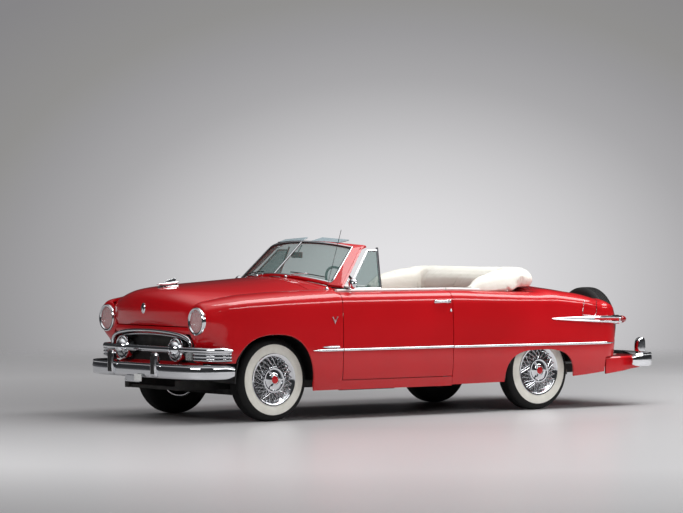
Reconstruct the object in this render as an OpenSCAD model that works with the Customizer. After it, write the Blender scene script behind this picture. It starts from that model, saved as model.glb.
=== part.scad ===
// 1950s two-door convertible car, nose towards -Y, left side towards +X, standing on its tyres at z = 0.
// Stations are measured aft from the front axle and moved to the row frame by placed() at the end.

/* [Overall] */
// Distance between the axles
wheelbase = 2896; // [2750:1:3500]
// From the front axle forward to the face of the front guards
front_overhang = 912; // [900:1:1000]
// From the rear axle back to the face of the rear guards
rear_overhang = 1474; // [1460:1:1700]
// Width across the door skins
body_width = 1830; // [1780:1:2200]
// Distance between the wheel centre planes
track = 1422; // [1380:1:1440]

/* [Body] */
// Height of the belt line at the doors
belt_z = 1078; // [1060:1:1200]
// Underside of the rocker panels
rocker_z = 250; // [210:1:270]
// Thickness of a body skin
skin_t = 22; // [12:1:26]
// Gap round every moving panel
gap = 6; // [5:1:8]
// Station of the front edge of the doors
door_front = 645; // [640:1:660]
// Distance from the rear axle forward to the rear edge of the doors
door_to_axle = 1066; // [1040:1:1120]
// Lower edge of the doors
door_z = 336; // [330:1:350]
// Inner face of the door trim, from the centre plane
door_inner_x = 770; // [760:1:780]

/* [Wheels] */
// Outer radius of a tyre
tyre_r = 350; // [340:1:360]
// Width of a tyre
tyre_w = 180; // [160:1:190]
// Radius of the wheel rim's seat
rim_r = 196; // [190:1:205]
// Radius of an axle spindle
spindle_r = 20; // [16:1:24]
// Running clearance of a bore round its pin
run_fit = 0.05; // [0.02:0.01:0.1]
// From a wheel's centre plane in to its steering pivot
pivot_offset = 90; // [85:1:100]
// Radius of a steering pivot pin
pivot_r = 15; // [12:1:18]

/* [Lamps and brightwork] */
// Radius of a headlamp rim
headlamp_r = 116; // [100:1:120]
// From the body's side in to the headlamps' centres
headlamp_inset = 228; // [220:1:235]
// Height of the headlamps
headlamp_z = 848; // [840:1:860]
// Height of the side trim
trim_z = 590; // [580:1:600]
// Width of the side trim
trim_h = 26; // [16:1:32]

/* [Interior] */
// Station of the steering wheel's hub
wheel_hub_y = 1030; // [1010:1:1060]
// Height of the steering wheel's hub
wheel_hub_z = 1100; // [1090:1:1110]
// Distance of the steering wheel from the centre plane
wheel_hub_x = 380; // [360:1:400]
// Slope of the steering column, in degrees
column_tilt = 28; // [22:1:32]
// Radius of the steering wheel
steering_r = 215; // [190:1:225]
// Top of the floor
floor_z = 356; // [350:1:360]
// Top of the trunk's floor
trunk_floor_z = 550; // [540:1:560]
// Station of the front seat's back, at the cushion
front_seat_y = 1560; // [1540:1:1600]
// Distance from the rear axle forward to the rear seat's back
rear_seat_to_axle = 430; // [420:1:460]

/* [Hidden] */
$fn = 48;
paint = "crimson";
bright = "silver";
dark = "dimgray";
cream = "ivory";
half_w = body_width / 2;
headlamp_x = half_w - headlamp_inset;
door_rear = wheelbase - door_to_axle;
total_length = front_overhang + wheelbase + rear_overhang;
front_axle_y = front_overhang - total_length / 2;
tail_y = wheelbase + 1004;          // the tail panel's face on the centre plane
deck_y = wheelbase + 224;           // the front edge of the trunk lid
kick_y = wheelbase - 546;           // where the frame and the floor start to rise over the rear axle
bulkhead_y = wheelbase - 296;       // the panel behind the rear seat
seat_gap = 0.4;                     // a seated piece's gap to what carries it
pivot_x = track / 2 - pivot_offset;
rail_x = 385;                       // centre of a frame rail
rail_w = 60;
hood_end = 400;                     // the rear edge of the hood on the centre plane
gearbox_z = 330;
shaft_z = 340;

// ---- general shapes ----

function smooth(a, b, t) = a + (b - a) * t * t * (3 - 2 * t);
function flat(rows) = [for (r = rows) each r];
function quad(a, b, c, d) = [[a, b, c], [a, c, d]];

// Closed solid between two grids of points with the same rows and columns
module sheet(outer, inner) {
    rows = len(outer);
    cols = len(outer[0]);
    n = rows * cols;
    faces = [
        for (r = [0:rows - 2]) for (c = [0:cols - 2]) let (i = r * cols + c)
            each concat(quad(i, i + cols, i + cols + 1, i + 1),
                quad(n + i, n + i + 1, n + i + cols + 1, n + i + cols)),
        for (c = [0:cols - 2]) let (j = (rows - 1) * cols + c)
            each concat(quad(c, c + 1, n + c + 1, n + c), quad(j, n + j, n + j + 1, j + 1)),
        for (r = [0:rows - 2]) let (i = r * cols, j = i + cols - 1)
            each concat(quad(i, n + i, n + i + cols, i + cols), quad(j, j + cols, n + j + cols, n + j))];
    polyhedron(points = concat(flat(outer), flat(inner)), faces = faces);
}

// Closed solid through rings of the same number of points, with its ends capped from their first point
module tube(rings) {
    m = len(rings[0]);
    last = (len(rings) - 1) * m;
    faces = [
        for (r = [0:len(rings) - 2]) for (c = [0:m - 1]) let (i = r * m + c, k = r * m + (c + 1) % m)
            each quad(i, i + m, k + m, k),
        for (c = [1:m - 2]) [0, c, c + 1],
        for (c = [1:m - 2]) [last, last + c + 1, last + c]];
    polyhedron(points = flat(rings), faces = faces);
}

// Ring-shaped solid through rings of the same number of points
module loop_tube(rings) {
    m = len(rings[0]);
    n = len(rings);
    faces = [
        for (r = [0:n - 1]) for (c = [0:m - 1])
            let (i = r * m + c, k = r * m + (c + 1) % m, j = ((r + 1) % n) * m)
            each quad(i, j + c, j + (c + 1) % m, k)];
    polyhedron(points = flat(rings), faces = faces);
}

module mirrored() {
    children();
    mirror([1, 0, 0]) children();
}

module box(x, y, z) translate([x[0], y[0], z[0]]) cube([x[1] - x[0], y[1] - y[0], z[1] - z[0]]);
// Extrudes a side-view outline of [y, z] points from x0 to x1
module side_plate(outline, x0, x1)
    translate([x0, 0, 0]) rotate([90, 0, 90]) linear_extrude(x1 - x0) polygon(outline);
module rod_x(r, x0, x1, y, z) translate([x0, y, z]) rotate([0, 90, 0]) cylinder(r = r, h = x1 - x0);
module rod_y(r, y0, y1, x, z) translate([x, y1, z]) rotate([90, 0, 0]) cylinder(r = r, h = y1 - y0);

// ---- body side ----

// Station, how far the side lies inside the full half width
width_cut = [[-430, 40], [-300, 18], [-150, 5], [0, 0], [wheelbase + 100, 0], [wheelbase + 500, 12],
    [wheelbase + 700, 30]];
// Station, x and z of the side's upper inner edge, z where the shoulder meets the slab
edge_rows = [
    [-430, 660, 1046, 925], [-313, 675, 1062, 930], [327, 715, 1096, 935], [600, 742, 1100, 935],
    [door_front - gap, 792, belt_z, 935], [door_rear, 792, belt_z, 935],
    [wheelbase - 527, 770, belt_z - 14, 935], [wheelbase - 70, 745, belt_z - 26, 940],
    [wheelbase + 94, 646, belt_z - 2, 935], [wheelbase + 300, 646, 1056, 920],
    [wheelbase + 500, 642, 1030, 900], [wheelbase + 700, 630, 985, 870]];
function sorted(v) = len(v) < 2 ? v : let (p = v[0])
    concat(sorted([for (x = v) if (x < p) x]), [p], sorted([for (x = v) if (x > p) x]));
function column(rows, c) = [for (r = rows) [r[0], r[c]]];
function side_x(y) = half_w - lookup(y, width_cut);
function edge_x(y) = lookup(y, column(edge_rows, 1)) + half_w - 915;
function edge_z(y) = lookup(y, column(edge_rows, 2));
function shoulder_z(y) = lookup(y, column(edge_rows, 3));
// How far the slab bows in from its widest line, by height
function bow(z) = z > 640 ? 9 * pow((z - 640) / 300, 2) : 30 * pow((640 - z) / 390, 2.6);

// Wheel openings: centre, forward and aft half length, top, exponent
front_arch = [-50, 425, 402, 737, 2.5];
rear_arch = [wheelbase - 46, 425, 385, 546, 2.9];
function arch_z(y, a) = let (u = (y - a[0]) / (y < a[0] ? a[1] : a[2]))
    abs(u) >= 1 ? rocker_z : rocker_z + (a[3] - rocker_z) * pow(1 - pow(abs(u), a[4]), 1 / a[4]);
// Stations that crowd towards the ends of a wheel opening
function arch_stations(a, n) = [for (k = [-n:n]) a[0] + (k < 0 ? a[1] : a[2]) * sin(90 * k / n)];
function lower_z(y) = max(arch_z(y, front_arch), arch_z(y, rear_arch),
    lookup(y, [[-500, 500], [-440, 500], [-400, rocker_z], [wheelbase - 400, rocker_z + 16],
        [wheelbase + 370, rocker_z + 46], [wheelbase + 714, rocker_z + 74], [wheelbase + 900, rocker_z + 90]]));

shoulder_n = 5;
slab_n = 5;
// Section of the side at station y as [x, z, normal x, normal z], from the upper inner edge to height z1
function side_section(y, z1) = let (x0 = edge_x(y), z0 = edge_z(y), x1 = side_x(y), zs = shoulder_z(y), e = 0.8)
    [for (i = [0:shoulder_n - 1]) let (t = 90 * i / shoulder_n)
        [x0 + (x1 - bow(zs) - x0) * pow(sin(t), e), zs + (z0 - zs) * pow(cos(t), e), sin(t), cos(t)],
     for (i = [0:slab_n]) let (z = zs + (z1 - zs) * i / slab_n) [x1 - bow(z), z, 1, 0]];
function outer_row(y, z1) = [for (p = side_section(y, z1)) [p[0], y, p[1]]];
function inner_row(y, z1, t) = [for (p = side_section(y, z1)) [p[0] - t * p[2], y, p[1] - t * p[3]]];

// ---- front fenders ----

corner_y = -430;      // where the side starts to turn round the front corner
corner_x = half_w - 355;       // inner edge of the fender's front face
corner_n = 6;
// Station of the front face's inner edge, by height
face_y = [[400, -640], [600, -660], [750, -690], [900, -690], [980, -672], [1046, -655]];
// Inner edge of the front face, by height
face_x = [[400, corner_x + 40], [700, corner_x + 30], [760, corner_x], [800, corner_x - 20], [862, corner_x],
    [930, corner_x + 25], [985, corner_x + 56], [1046, corner_x + 80]];
// Rows round the front corner, from the straight side (t = 0) to the face's inner edge (t = 90)
function corner_row(t, inset) = [for (p = side_section(corner_y, 500))
    let (drop = p[3] * 70 * pow(sin(t), 2), z = p[1] - drop, xi = lookup(z, face_x) + gap, yi = lookup(z, face_y))
    [xi + (p[0] - xi) * cos(t) - inset * p[2] * cos(t),
     corner_y + (yi - corner_y) * sin(t) + inset * sin(t),
     z - inset * p[3]]];
fender_rear = door_front - gap;
fender_stations = concat([for (y = arch_stations(front_arch, 6)) if (y > corner_y + 8) y],
    [hood_end + gap + 30, 560, fender_rear]);

module front_fender() color(paint) difference() {
    sheet(
        concat([for (k = [corner_n:-1:0]) corner_row(90 * k / corner_n, 0)],
            [for (y = fender_stations) outer_row(y, lower_z(y))]),
        concat([for (k = [corner_n:-1:0]) corner_row(90 * k / corner_n, skin_t)],
            [for (y = fender_stations) inner_row(y, lower_z(y), skin_t)]));
    rod_y(headlamp_r - 10 + seat_gap, -760, -560, headlamp_x, headlamp_z);
}

// ---- hood ----

// Centre station and z, edge x, edge station and z, from the nose's lower edge back to the cowl
hood_rows = [
    [-722, 800, 540, -692, 800], [-762, 850, 558, -700, 862], [-782, 925, 581, -694, 930],
    [-774, 1002, 610, -660, 985], [-738, 1062, 632, -606, 1010], [-645, 1110, 645, -500, 1034],
    [-392, 1140, 667, -313, 1060], [0, 1168, 691, 60, 1080], [hood_end, 1196, 713, hood_end + 30, 1092]];
hood_cols = 12;
hood_dome = 2.4;
function hood_row(r, drop) = [for (c = [-hood_cols:2:hood_cols]) let (u = c / hood_cols, w = pow(abs(u), hood_dome))
    [(r[2] + half_w - 915) * u, r[0] + (r[3] - r[0]) * w + drop[0], r[1] + (r[4] - r[1]) * w - drop[1]]];
// How the inner face is moved back and down from each row, with its last row set forward as a bevel
function hood_drop(k) = let (t = min(1, k / 5)) [k == len(hood_rows) - 1 ? -30 : skin_t * (1 - t), skin_t * t];
module hood() color(paint) sheet(
    [for (r = hood_rows) hood_row(r, [0, 0])],
    [for (k = [0:len(hood_rows) - 1]) hood_row(hood_rows[k], hood_drop(k))]);

module hood_ornament() color(bright) translate([0, -645, 1110.5]) rotate([6.76, 0, 0]) {
    // a low dart with one fin, on a foot
    rod_y(11, -10, 240, 0, 24);
    side_plate([[80, 30], [110, 58], [190, 74], [160, 30]], -4, 4);
    side_plate([[40, 0], [220, 0], [200, 20], [60, 20]], -8, 8);
}

// ---- cowl and windshield ----

// Lower and upper edges of the glass, by the share u of the half width
glass_x0 = 682;
glass_x1 = 598;
function glass_low(u) = [glass_x0 * u, 575 + 112 * u * u, 1216 - 66 * u * u];
function glass_high(u) = [glass_x1 * u, 872 + 92 * u * u, 1492 - 50 * pow(abs(u), 2.3)];
glass_t = 8;
glass_n = 8;
rake = [0, -0.707, 0.707];
module windshield_glass() color("lightcyan", 0.4) sheet(
    [for (v = [0:3]) [for (c = [-glass_n:glass_n]) let (u = c / glass_n)
        glass_low(u) + (glass_high(u) - glass_low(u)) * v / 3 + rake * glass_t / 2]],
    [for (v = [0:3]) [for (c = [-glass_n:glass_n]) let (u = c / glass_n)
        glass_low(u) + (glass_high(u) - glass_low(u)) * v / 3 - rake * glass_t / 2]]);

// Four corners of the frame's section: glass side front and back, outer side back and front
function frame_ring(inner, outer, t) = [inner - rake * t / 2, inner + rake * t / 2, outer + rake * t / 2,
    outer - rake * t / 2];
frame_t = 30;
function frame_low(u) = frame_ring(glass_low(u) + [0, -0.6, -0.6],
    glass_low(u) + [10 * u, -12 - 8 * u * u, -18 - 4 * u * u], frame_t);
function frame_high(u) = frame_ring(glass_high(u) + [0, 0.6, 0.6],
    glass_high(u) + [26 * u, 24 + 110 * pow(abs(u), 6), 8 + 14 * u * u], frame_t);
function frame_side(s, v) = frame_ring(glass_low(s) + (glass_high(s) - glass_low(s)) * v + [0.9 * s, 0, 0],
    [(778 - 150 * v) * s, 722 + 330 * v, 1104 + 355 * v], frame_t);
module windshield_frame() color(paint) loop_tube(concat(
    [for (c = [-glass_n:glass_n]) frame_low(c / glass_n)],
    [for (v = [0.08, 0.3, 0.5, 0.7, 0.92]) frame_side(1, v)],
    [for (c = [glass_n:-1:-glass_n]) frame_high(c / glass_n)],
    [for (v = [0.92, 0.7, 0.5, 0.3, 0.08]) frame_side(-1, v)]));

// Cowl top from the hood's rear edge back under the windshield's lower frame
down_rake = [0, -0.707, -0.707];
function cowl_edge(y, drop) = [edge_x(y) - seat_gap, min(y, fender_rear), edge_z(y) - drop];
function cowl_point(k, u) = let (w = pow(abs(u), hood_dome))
    k == 0 ? [(718 + half_w - 915) * u, hood_end + gap + 30 * w, 1196 - 104 * w] :
    k == 1 ? [710 * u, 500 + 70 * w, 1200 - 93 * w] :
    frame_low(u)[k == 2 ? 2 : 3] + down_rake * 0.5;
function cowl_row(k, drop) = [for (c = [-glass_n - 1:glass_n + 1])
    let (s = c < 0 ? -1 : 1, e = cowl_edge([hood_end + gap + 30, 560, fender_rear, fender_rear][k], drop))
    abs(c) > glass_n ? [e[0] * s, e[1], e[2]] : cowl_point(k, c / glass_n) - [0, 0, drop]];
module cowl_panel() color(paint) sheet(
    [for (k = [0:3]) cowl_row(k, 0)], [for (k = [0:3]) cowl_row(k, skin_t)]);

// ---- doors ----

door_slope = 70;      // how far the door's front face runs back to its inner edge
hinge_y = 560;
hinge_x = half_w - 45;
hinge_heights = [430, 860];
hinge_pin_r = 6;
door_stations = [for (k = [0:6]) door_front + (door_rear - door_front) * k / 6];
function door_inner_y(y) = min(max(y, door_front + door_slope), door_rear - 30);
module door() color(paint) sheet(
    [for (y = door_stations) outer_row(y, door_z)],
    [for (y = door_stations) [for (p = outer_row(y, door_z)) [door_inner_x, door_inner_y(y), p[2]]]]);
// Goose-neck arm from the pin back to the door's inner edge
module door_with_arms() {
    door();
    color(dark) for (z = hinge_heights) hinge_arm(z);
}
module hinge_arm(z) translate([0, 0, z]) linear_extrude(24) difference() {
    union() {
        translate([hinge_x, hinge_y]) circle(r = 12);
        polygon([[hinge_x, hinge_y - 14], [hinge_x - 92, hinge_y - 14], [hinge_x - 92, door_front + 72],
            [door_inner_x + 40, door_front + 72], [door_inner_x + 40, door_front + 50],
            [hinge_x - 74, door_front + 20], [hinge_x - 74, hinge_y + 14], [hinge_x, hinge_y + 14]]);
    }
    translate([hinge_x, hinge_y]) circle(r = hinge_pin_r + run_fit);
}

// Strip that follows the body side from y0 to y1 between two heights
module side_strip(y0, y1, z0, z1, t) {
    stations = concat([y0], [for (r = width_cut) if (r[0] > y0 && r[0] < y1) r[0]], [y1]);
    sheet([for (y = stations) [for (z = [z1, z0]) [side_x(y) - bow(z) + t, y, z]]],
        [for (y = stations) [for (z = [z1, z0]) [side_x(y) - bow(z) + 1.5 * seat_gap, y, z]]]);
}
module door_trim() color(bright) {
    side_strip(door_front + 1, door_rear - 1, trim_z - trim_h / 2, trim_z + trim_h / 2, 9);
    rod_y(8, door_rear - 190, door_rear - 60, half_w + 15, 985);
    for (y = [door_rear - 180, door_rear - 75]) rod_x(6, half_w - 12.4, half_w + 15, y, 985);
    box([door_inner_x + 4, 800], [door_front + 70, door_rear - 40], [belt_z + seat_gap, belt_z + 22]);
    // door mirror
    box([800, 816], [745, 775], [belt_z + seat_gap, 1110]);
    box([800, 862], [752, 764], [1096, 1110]);
    rod_y(42, 764, 792, 850, 1140);
}
vent_z = belt_z + 22 + seat_gap;
vent_outline = [[800, vent_z], [1086, 1424], [1190, 1424], [1140, vent_z]];
module vent_glass() color("lightcyan", 0.5) {
    lean = atan(124 / 318);
    translate([780, 0, vent_z]) rotate([0, -lean, 0])
        side_plate([for (p = vent_outline) [p[0], (p[1] - vent_z) / cos(lean)]], 0, 8);
}

// ---- quarter panels, deck and tail ----

tail_corner = wheelbase + 724;
tail_n = 6;
// Station and inner edge of the tail's rear face, by height
tail_face_y = [[440, wheelbase + 946], [600, wheelbase + 972], [720, wheelbase + 980], [830, wheelbase + 968],
    [915, wheelbase + 940], [985, wheelbase + 860]];
lid_edge_x = half_w - 319;
function tail_row(t, inset) = [for (p = side_section(tail_corner, 457))
    let (drop = p[3] * 80 * pow(sin(t), 2), z = p[1] - drop, xi = lid_edge_x + gap, yi = lookup(z, tail_face_y))
    [xi + (p[0] - xi) * cos(t) - inset * p[2] * cos(t),
     tail_corner + (yi - tail_corner) * sin(t) - inset * sin(t),
     z - inset * p[3]]];
quarter_front = door_rear + gap;
quarter_stations = sorted(concat([quarter_front, wheelbase - 746], arch_stations(rear_arch, 6), [wheelbase + 714],
    [for (r = concat(edge_rows, width_cut)) if (r[0] > quarter_front + 1) r[0]]));
module section_plate(y0, y1, inset, x_in, z1) translate([0, y1, 0]) rotate([90, 0, 0])
    linear_extrude(y1 - y0) polygon(concat(
        [for (p = side_section(y0, z1)) [p[0] - inset * p[2], p[1] - inset * p[3]]],
        [[x_in, z1], [x_in, edge_z(y0) - inset]]));
module quarter_panel() color(paint) meshed() {
    sheet(
        concat([for (y = quarter_stations) outer_row(y, lower_z(y))],
            [for (k = [0:tail_n]) tail_row(90 * k / tail_n, 0)]),
        concat([for (y = quarter_stations) inner_row(y, lower_z(y), skin_t)],
            [for (k = [0:tail_n]) tail_row(90 * k / tail_n, skin_t)]));
    section_plate(quarter_front, quarter_front + 25, 4, 745, floor_z + seat_gap);
    box([745, 757], [quarter_front, wheelbase - 416], [floor_z + 10, 1040]);
}

function deck_row(y, z, drop) = [for (c = [-6:6]) let (u = c / 6, w = pow(abs(u), hood_dome))
    [(edge_x(y) - seat_gap) * u, y, z + (edge_z(y) - z) * w - drop]];
deck_front = wheelbase - 246;
deck_heights = [[deck_front, 1050], [wheelbase - 60, 1078], [deck_y - gap, 1107]];
deck_stations = concat([deck_front], [for (y = quarter_stations) if (y > deck_front && y < deck_y - gap) y],
    [deck_y - gap]);
module rear_deck() color(paint) sheet([for (y = deck_stations) deck_row(y, lookup(y, deck_heights), 0)],
    [for (y = deck_stations) deck_row(y, lookup(y, deck_heights), skin_t)]);

// Centre station and z, edge x, edge station and z
lid_rows = [
    [deck_y, 1106, 640, deck_y, 1065], [wheelbase + 304, 1096, 640, wheelbase + 304, 1055],
    [wheelbase + 504, 1070, 636, wheelbase + 500, 1029], [wheelbase + 704, 1030, 624, wheelbase + 700, 984],
    [wheelbase + 850, 972, lid_edge_x + 6, wheelbase + 826, 940],
    [wheelbase + 950, 900, lid_edge_x - 4, wheelbase + 938, 890],
    [wheelbase + 1000, 800, lid_edge_x - 4, wheelbase + 972, 800],
    [wheelbase + 1010, 700, lid_edge_x - 4, wheelbase + 979, 700],
    [wheelbase + 1005, 606, lid_edge_x - 4, wheelbase + 973, 606]];
function lid_drop(k) = let (t = min(1, max(0, (k - 3) / 3)))
    [k == 0 ? 30 : -skin_t * t, k == 0 ? skin_t : skin_t * (1 - t)];
module trunk_lid() color(paint) sheet(
    [for (r = lid_rows) hood_row(r, [0, 0])], [for (k = [0:len(lid_rows) - 1]) hood_row(lid_rows[k], lid_drop(k))]);

// Solid swept across the car: an outline of [y, z] points moved by bulge * u * u at each side
module swept_across(outline, half, bulge) tube([for (c = [-4:4]) let (u = c / 4)
    [for (p = outline) [half * u, p[0] + bulge * u * u, p[1]]]]);
module tail_panel() color(paint) swept_across(
    [[tail_y - 22, 600], [tail_y - 26, 456.4], [tail_y - 4, 456.4], [tail_y, 600]], lid_edge_x + gap - seat_gap, -32);
module nose_panel() color(paint) meshed() {
    swept_across([[-722, 794], [-716, 735], [-650, 726], [-630, 745], [-690, 794]], corner_x + 3.6, 28);
    swept_across([[-650, 740], [-650, 480], [-700, 470], [-690, 390], [-640, 390], [-630, 470], [-630, 740]],
        corner_x + 26, 32);
}

module meshed() resize([0, 0, 0]) union() children();
module outer_cutter() {
    cut_rows = concat([corner_y, -200, 0, 200, 400, fender_rear], [wheelbase - 420, wheelbase, tail_corner - 100]);
    sheet([for (y = cut_rows) [for (p = side_section(y, 500)) [p[0] + 80 * p[2], y, p[1] + 80 * p[3]]]],
        [for (y = cut_rows) inner_row(y, 500, skin_t + 2 * seat_gap)]);
}
// Half-drum shell over a wheel from its inner wall out to the skin
module wheel_well(y, r, x_in, low) {
    difference() {
        rod_x(r + 8, x_in, half_w, y, tyre_r, $fn = 40);
        rod_x(r, x_in + 8, half_w + 1, y, tyre_r, $fn = 40);
        box([x_in - 1, half_w + 1], [y - r - 20, y + r + 20], [-100, low]);
        box([868, half_w + 1], [y - r - 20, y + r + 20], [-100, 500]);
        box([x_in - 1, x_in + 9], [y - 200, y + 200], [0, 620]);
        outer_cutter();
    }
}
front_well_r = tyre_r + 85;
module wheel_wells() color(dark) meshed() mirrored() {
    wheel_well(0, front_well_r, 424, 332);
    box([rail_x + rail_w / 2 + seat_gap, 440], [front_well_r - 30, front_well_r - 2], [300, 346]);
    wheel_well(wheelbase, tyre_r + 40, 590, 420);
}

module rocker_panels() color(paint) mirrored() translate([0, quarter_front - seat_gap, 0]) rotate([90, 0, 0])
    linear_extrude(quarter_front - fender_rear - 2 * seat_gap) polygon([[735, rocker_z + 6], [half_w - 31, rocker_z],
        [half_w - 18, door_z - gap], [door_inner_x - gap, door_z - gap], [door_inner_x - gap, floor_z - 10 - seat_gap],
        [735, floor_z - 10 - seat_gap]]);
module bumper_extension() color(paint) meshed() {
    difference() {
        tube([for (r = [[wheelbase + 740, half_w - 53, 300], [wheelbase + 1107, half_w - 115, 340],
            [wheelbase + 1290, half_w - 175, 350]])
            [[-r[1] - 6, r[0], 456], [r[1] + 6, r[0], 456], [r[1], r[0], r[2]], [-r[1], r[0], r[2]]]]);
        tube([for (r = [[wheelbase + 730, half_w - 67, 290], [wheelbase + 1107, half_w - 129, 330],
            [wheelbase + 1300, half_w - 189, 340]])
            [[-r[1], r[0], 444], [r[1], r[0], 444], [r[1], r[0], r[2] - 20], [-r[1], r[0], r[2] - 20]]]);
        box([-390, 390], [spare_y - 96, wheelbase + 1310], [300, 500]);
    }
    mirrored() box([300, 340], [wheelbase + 780, wheelbase + 1100], [380.4, 446]);
}

// ---- structure ----

module frame_rails() color(dark) {
    mirrored() side_plate([[-700, 262], [kick_y, 262], [wheelbase - 256, 450], [wheelbase + 254, 450],
        [wheelbase + 480, 300], [wheelbase + 1100, 300], [wheelbase + 1100, 380], [wheelbase + 510, 380],
        [wheelbase + 274, 530], [wheelbase - 286, 530], [kick_y - 20, 342], [-700, 342]],
        rail_x - rail_w / 2, rail_x + rail_w / 2);
    for (y = [-680, 1300, kick_y - 100]) box([-rail_x + rail_w / 2, rail_x - rail_w / 2], [y, y + 60], [262, 290]);
    box([-rail_x + rail_w / 2, rail_x - rail_w / 2], [wheelbase + 600, wheelbase + 660], [300, 340]);
    // outriggers that carry the floor and sills
    for (y = [700, door_rear - 80]) mirrored() box([rail_x + rail_w / 2, 734.6], [y, y + 50], [300, floor_z - 10 - seat_gap]);
}
module floor_pan() color(dark) {
    difference() {
        union() {
            side_plate([[556, floor_z - 10], [kick_y - 40, floor_z - 10], [kick_y + 240, trunk_floor_z - 10],
                [wheelbase + 940, trunk_floor_z - 10], [wheelbase + 940, trunk_floor_z], [kick_y + 235, trunk_floor_z],
                [kick_y - 45, floor_z], [556, floor_z]], -590 + seat_gap, 590 - seat_gap);
            mirrored() box([590 - seat_gap, door_inner_x - gap - 2], [556, kick_y - 50], [floor_z - 10, floor_z]);
            rod_y(118, 556, 1060, 0, gearbox_z);
            rod_y(60, 1000, kick_y + 70, 0, shaft_z);
            box([-580, 580], [bulkhead_y, bulkhead_y + 10], [trunk_floor_z - 5, 1020]);
        }
        rod_y(110, 500, 1052, 0, gearbox_z);
        rod_y(52, 1000, kick_y + 80, 0, shaft_z);
        box([-200, 200], [500, kick_y + 80], [200, floor_z - 10.1]);
    }
}
module firewall() color(paint) {
    difference() {
        box([-740, 740], [540, 555.6], [342.4, 1060]);
        rod_y(119, 500, 600, 0, gearbox_z);
        along_column(-700) cylinder(r = 24, h = 800);
    }
    mirrored() {
        box([740, 768], [540, 690], [floor_z + seat_gap, 1058]);
        // hinge brackets and pins
        for (z = hinge_heights) {
            box([768, hinge_x + 8], [hinge_y - 20, hinge_y + 20], [z - 12, z - 1]);
            box([768, hinge_x + 8], [hinge_y - 20, hinge_y + 20], [z + 25, z + 36]);
            translate([hinge_x, hinge_y, z - 6]) cylinder(r = hinge_pin_r, h = 36);
        }
    }
}
module dashboard() color(paint) side_plate([[640, 1076], [735, 1084], [775, 1068], [785, 1030], [760, 1000],
    [700, 975], [640, 975]], -740 + seat_gap, 740 - seat_gap);
module along_column(z) translate([wheel_hub_x, wheel_hub_y, wheel_hub_z]) rotate([column_tilt - 90, 0, 0])
    translate([0, 0, z]) children();
module steering_column() color(dark) {
    along_column(-540) difference() {
        cylinder(r = 22, h = 500);
        translate([0, 0, 420]) cylinder(r = 9 + run_fit, h = 100);
    }
    box([wheel_hub_x - 20, wheel_hub_x + 20], [655, 698], [925, 974.6]);
}
module steering_wheel() color("black") {
    along_column(0) {
        rotate_extrude() translate([steering_r - 10, 0]) circle(r = 10, $fn = 24);
        translate([0, 0, -38]) cylinder(r = 26, h = 40);
        translate([0, 0, -100]) cylinder(r = 9, h = 70);
        for (a = [0, 180]) rotate([0, 0, a]) translate([20, -9, -10]) cube([steering_r - 28, 18, 8]);
    }
}

// ---- running gear ----

module across(x) translate([x, 0, 0]) rotate([0, 90, 0]) children();
module front_suspension() color(dark) {
    box([-480, 480], [-60, 60], [200, 261.6]);
    mirrored() {
        box([430, 480], [-40, 40], [200, 500]);
        box([480, 650], [-25, 25], [212, 242]);
        box([480, 650], [-25, 25], [464, 490]);
        translate([pivot_x, 0, 230]) cylinder(r = pivot_r, h = 245);
    }
}
module knuckle() color(dark) difference() {
    union() {
        translate([pivot_x, 0, 290]) cylinder(r = 30, h = 120);
        rod_x(spindle_r, pivot_x, track / 2 + 34, 0, tyre_r);
        rod_x(40, pivot_x + 26, pivot_x + 46, 0, tyre_r);
    }
    translate([pivot_x, 0, 280]) cylinder(r = pivot_r + run_fit, h = 140);
}
module rear_axle() color(dark) translate([0, wheelbase, tyre_r]) {
    across(-640) cylinder(r = 38, h = 1280);
    across(-track / 2 - 34) cylinder(r = spindle_r, h = track + 68);
    across(-80) cylinder(r = 110, h = 160);
    rotate([90, 0, 0]) cylinder(r = 60, h = 122);
    mirrored() across(640) cylinder(r = 138, h = 12);
}
// Tyre section as [distance from the axle, distance from the centre plane]
bead_x = tyre_w / 2 - 8;
tyre_section = [[rim_r + seat_gap, bead_x], [rim_r + 16, bead_x + 1], [rim_r + 44, tyre_w / 2 - 2], [rim_r + 74, tyre_w / 2],
    [rim_r + 104, tyre_w / 2 - 3], [tyre_r - 28, tyre_w / 2 - 10], [tyre_r - 10, tyre_w / 2 - 24], [tyre_r, tyre_w / 2 - 38]];
module tyre() color("black") rotate([0, 90, 0]) rotate_extrude($fn = 72) polygon(concat(tyre_section,
    [for (k = [len(tyre_section) - 1:-1:0]) [tyre_section[k][0], -tyre_section[k][1]]]));
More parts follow.
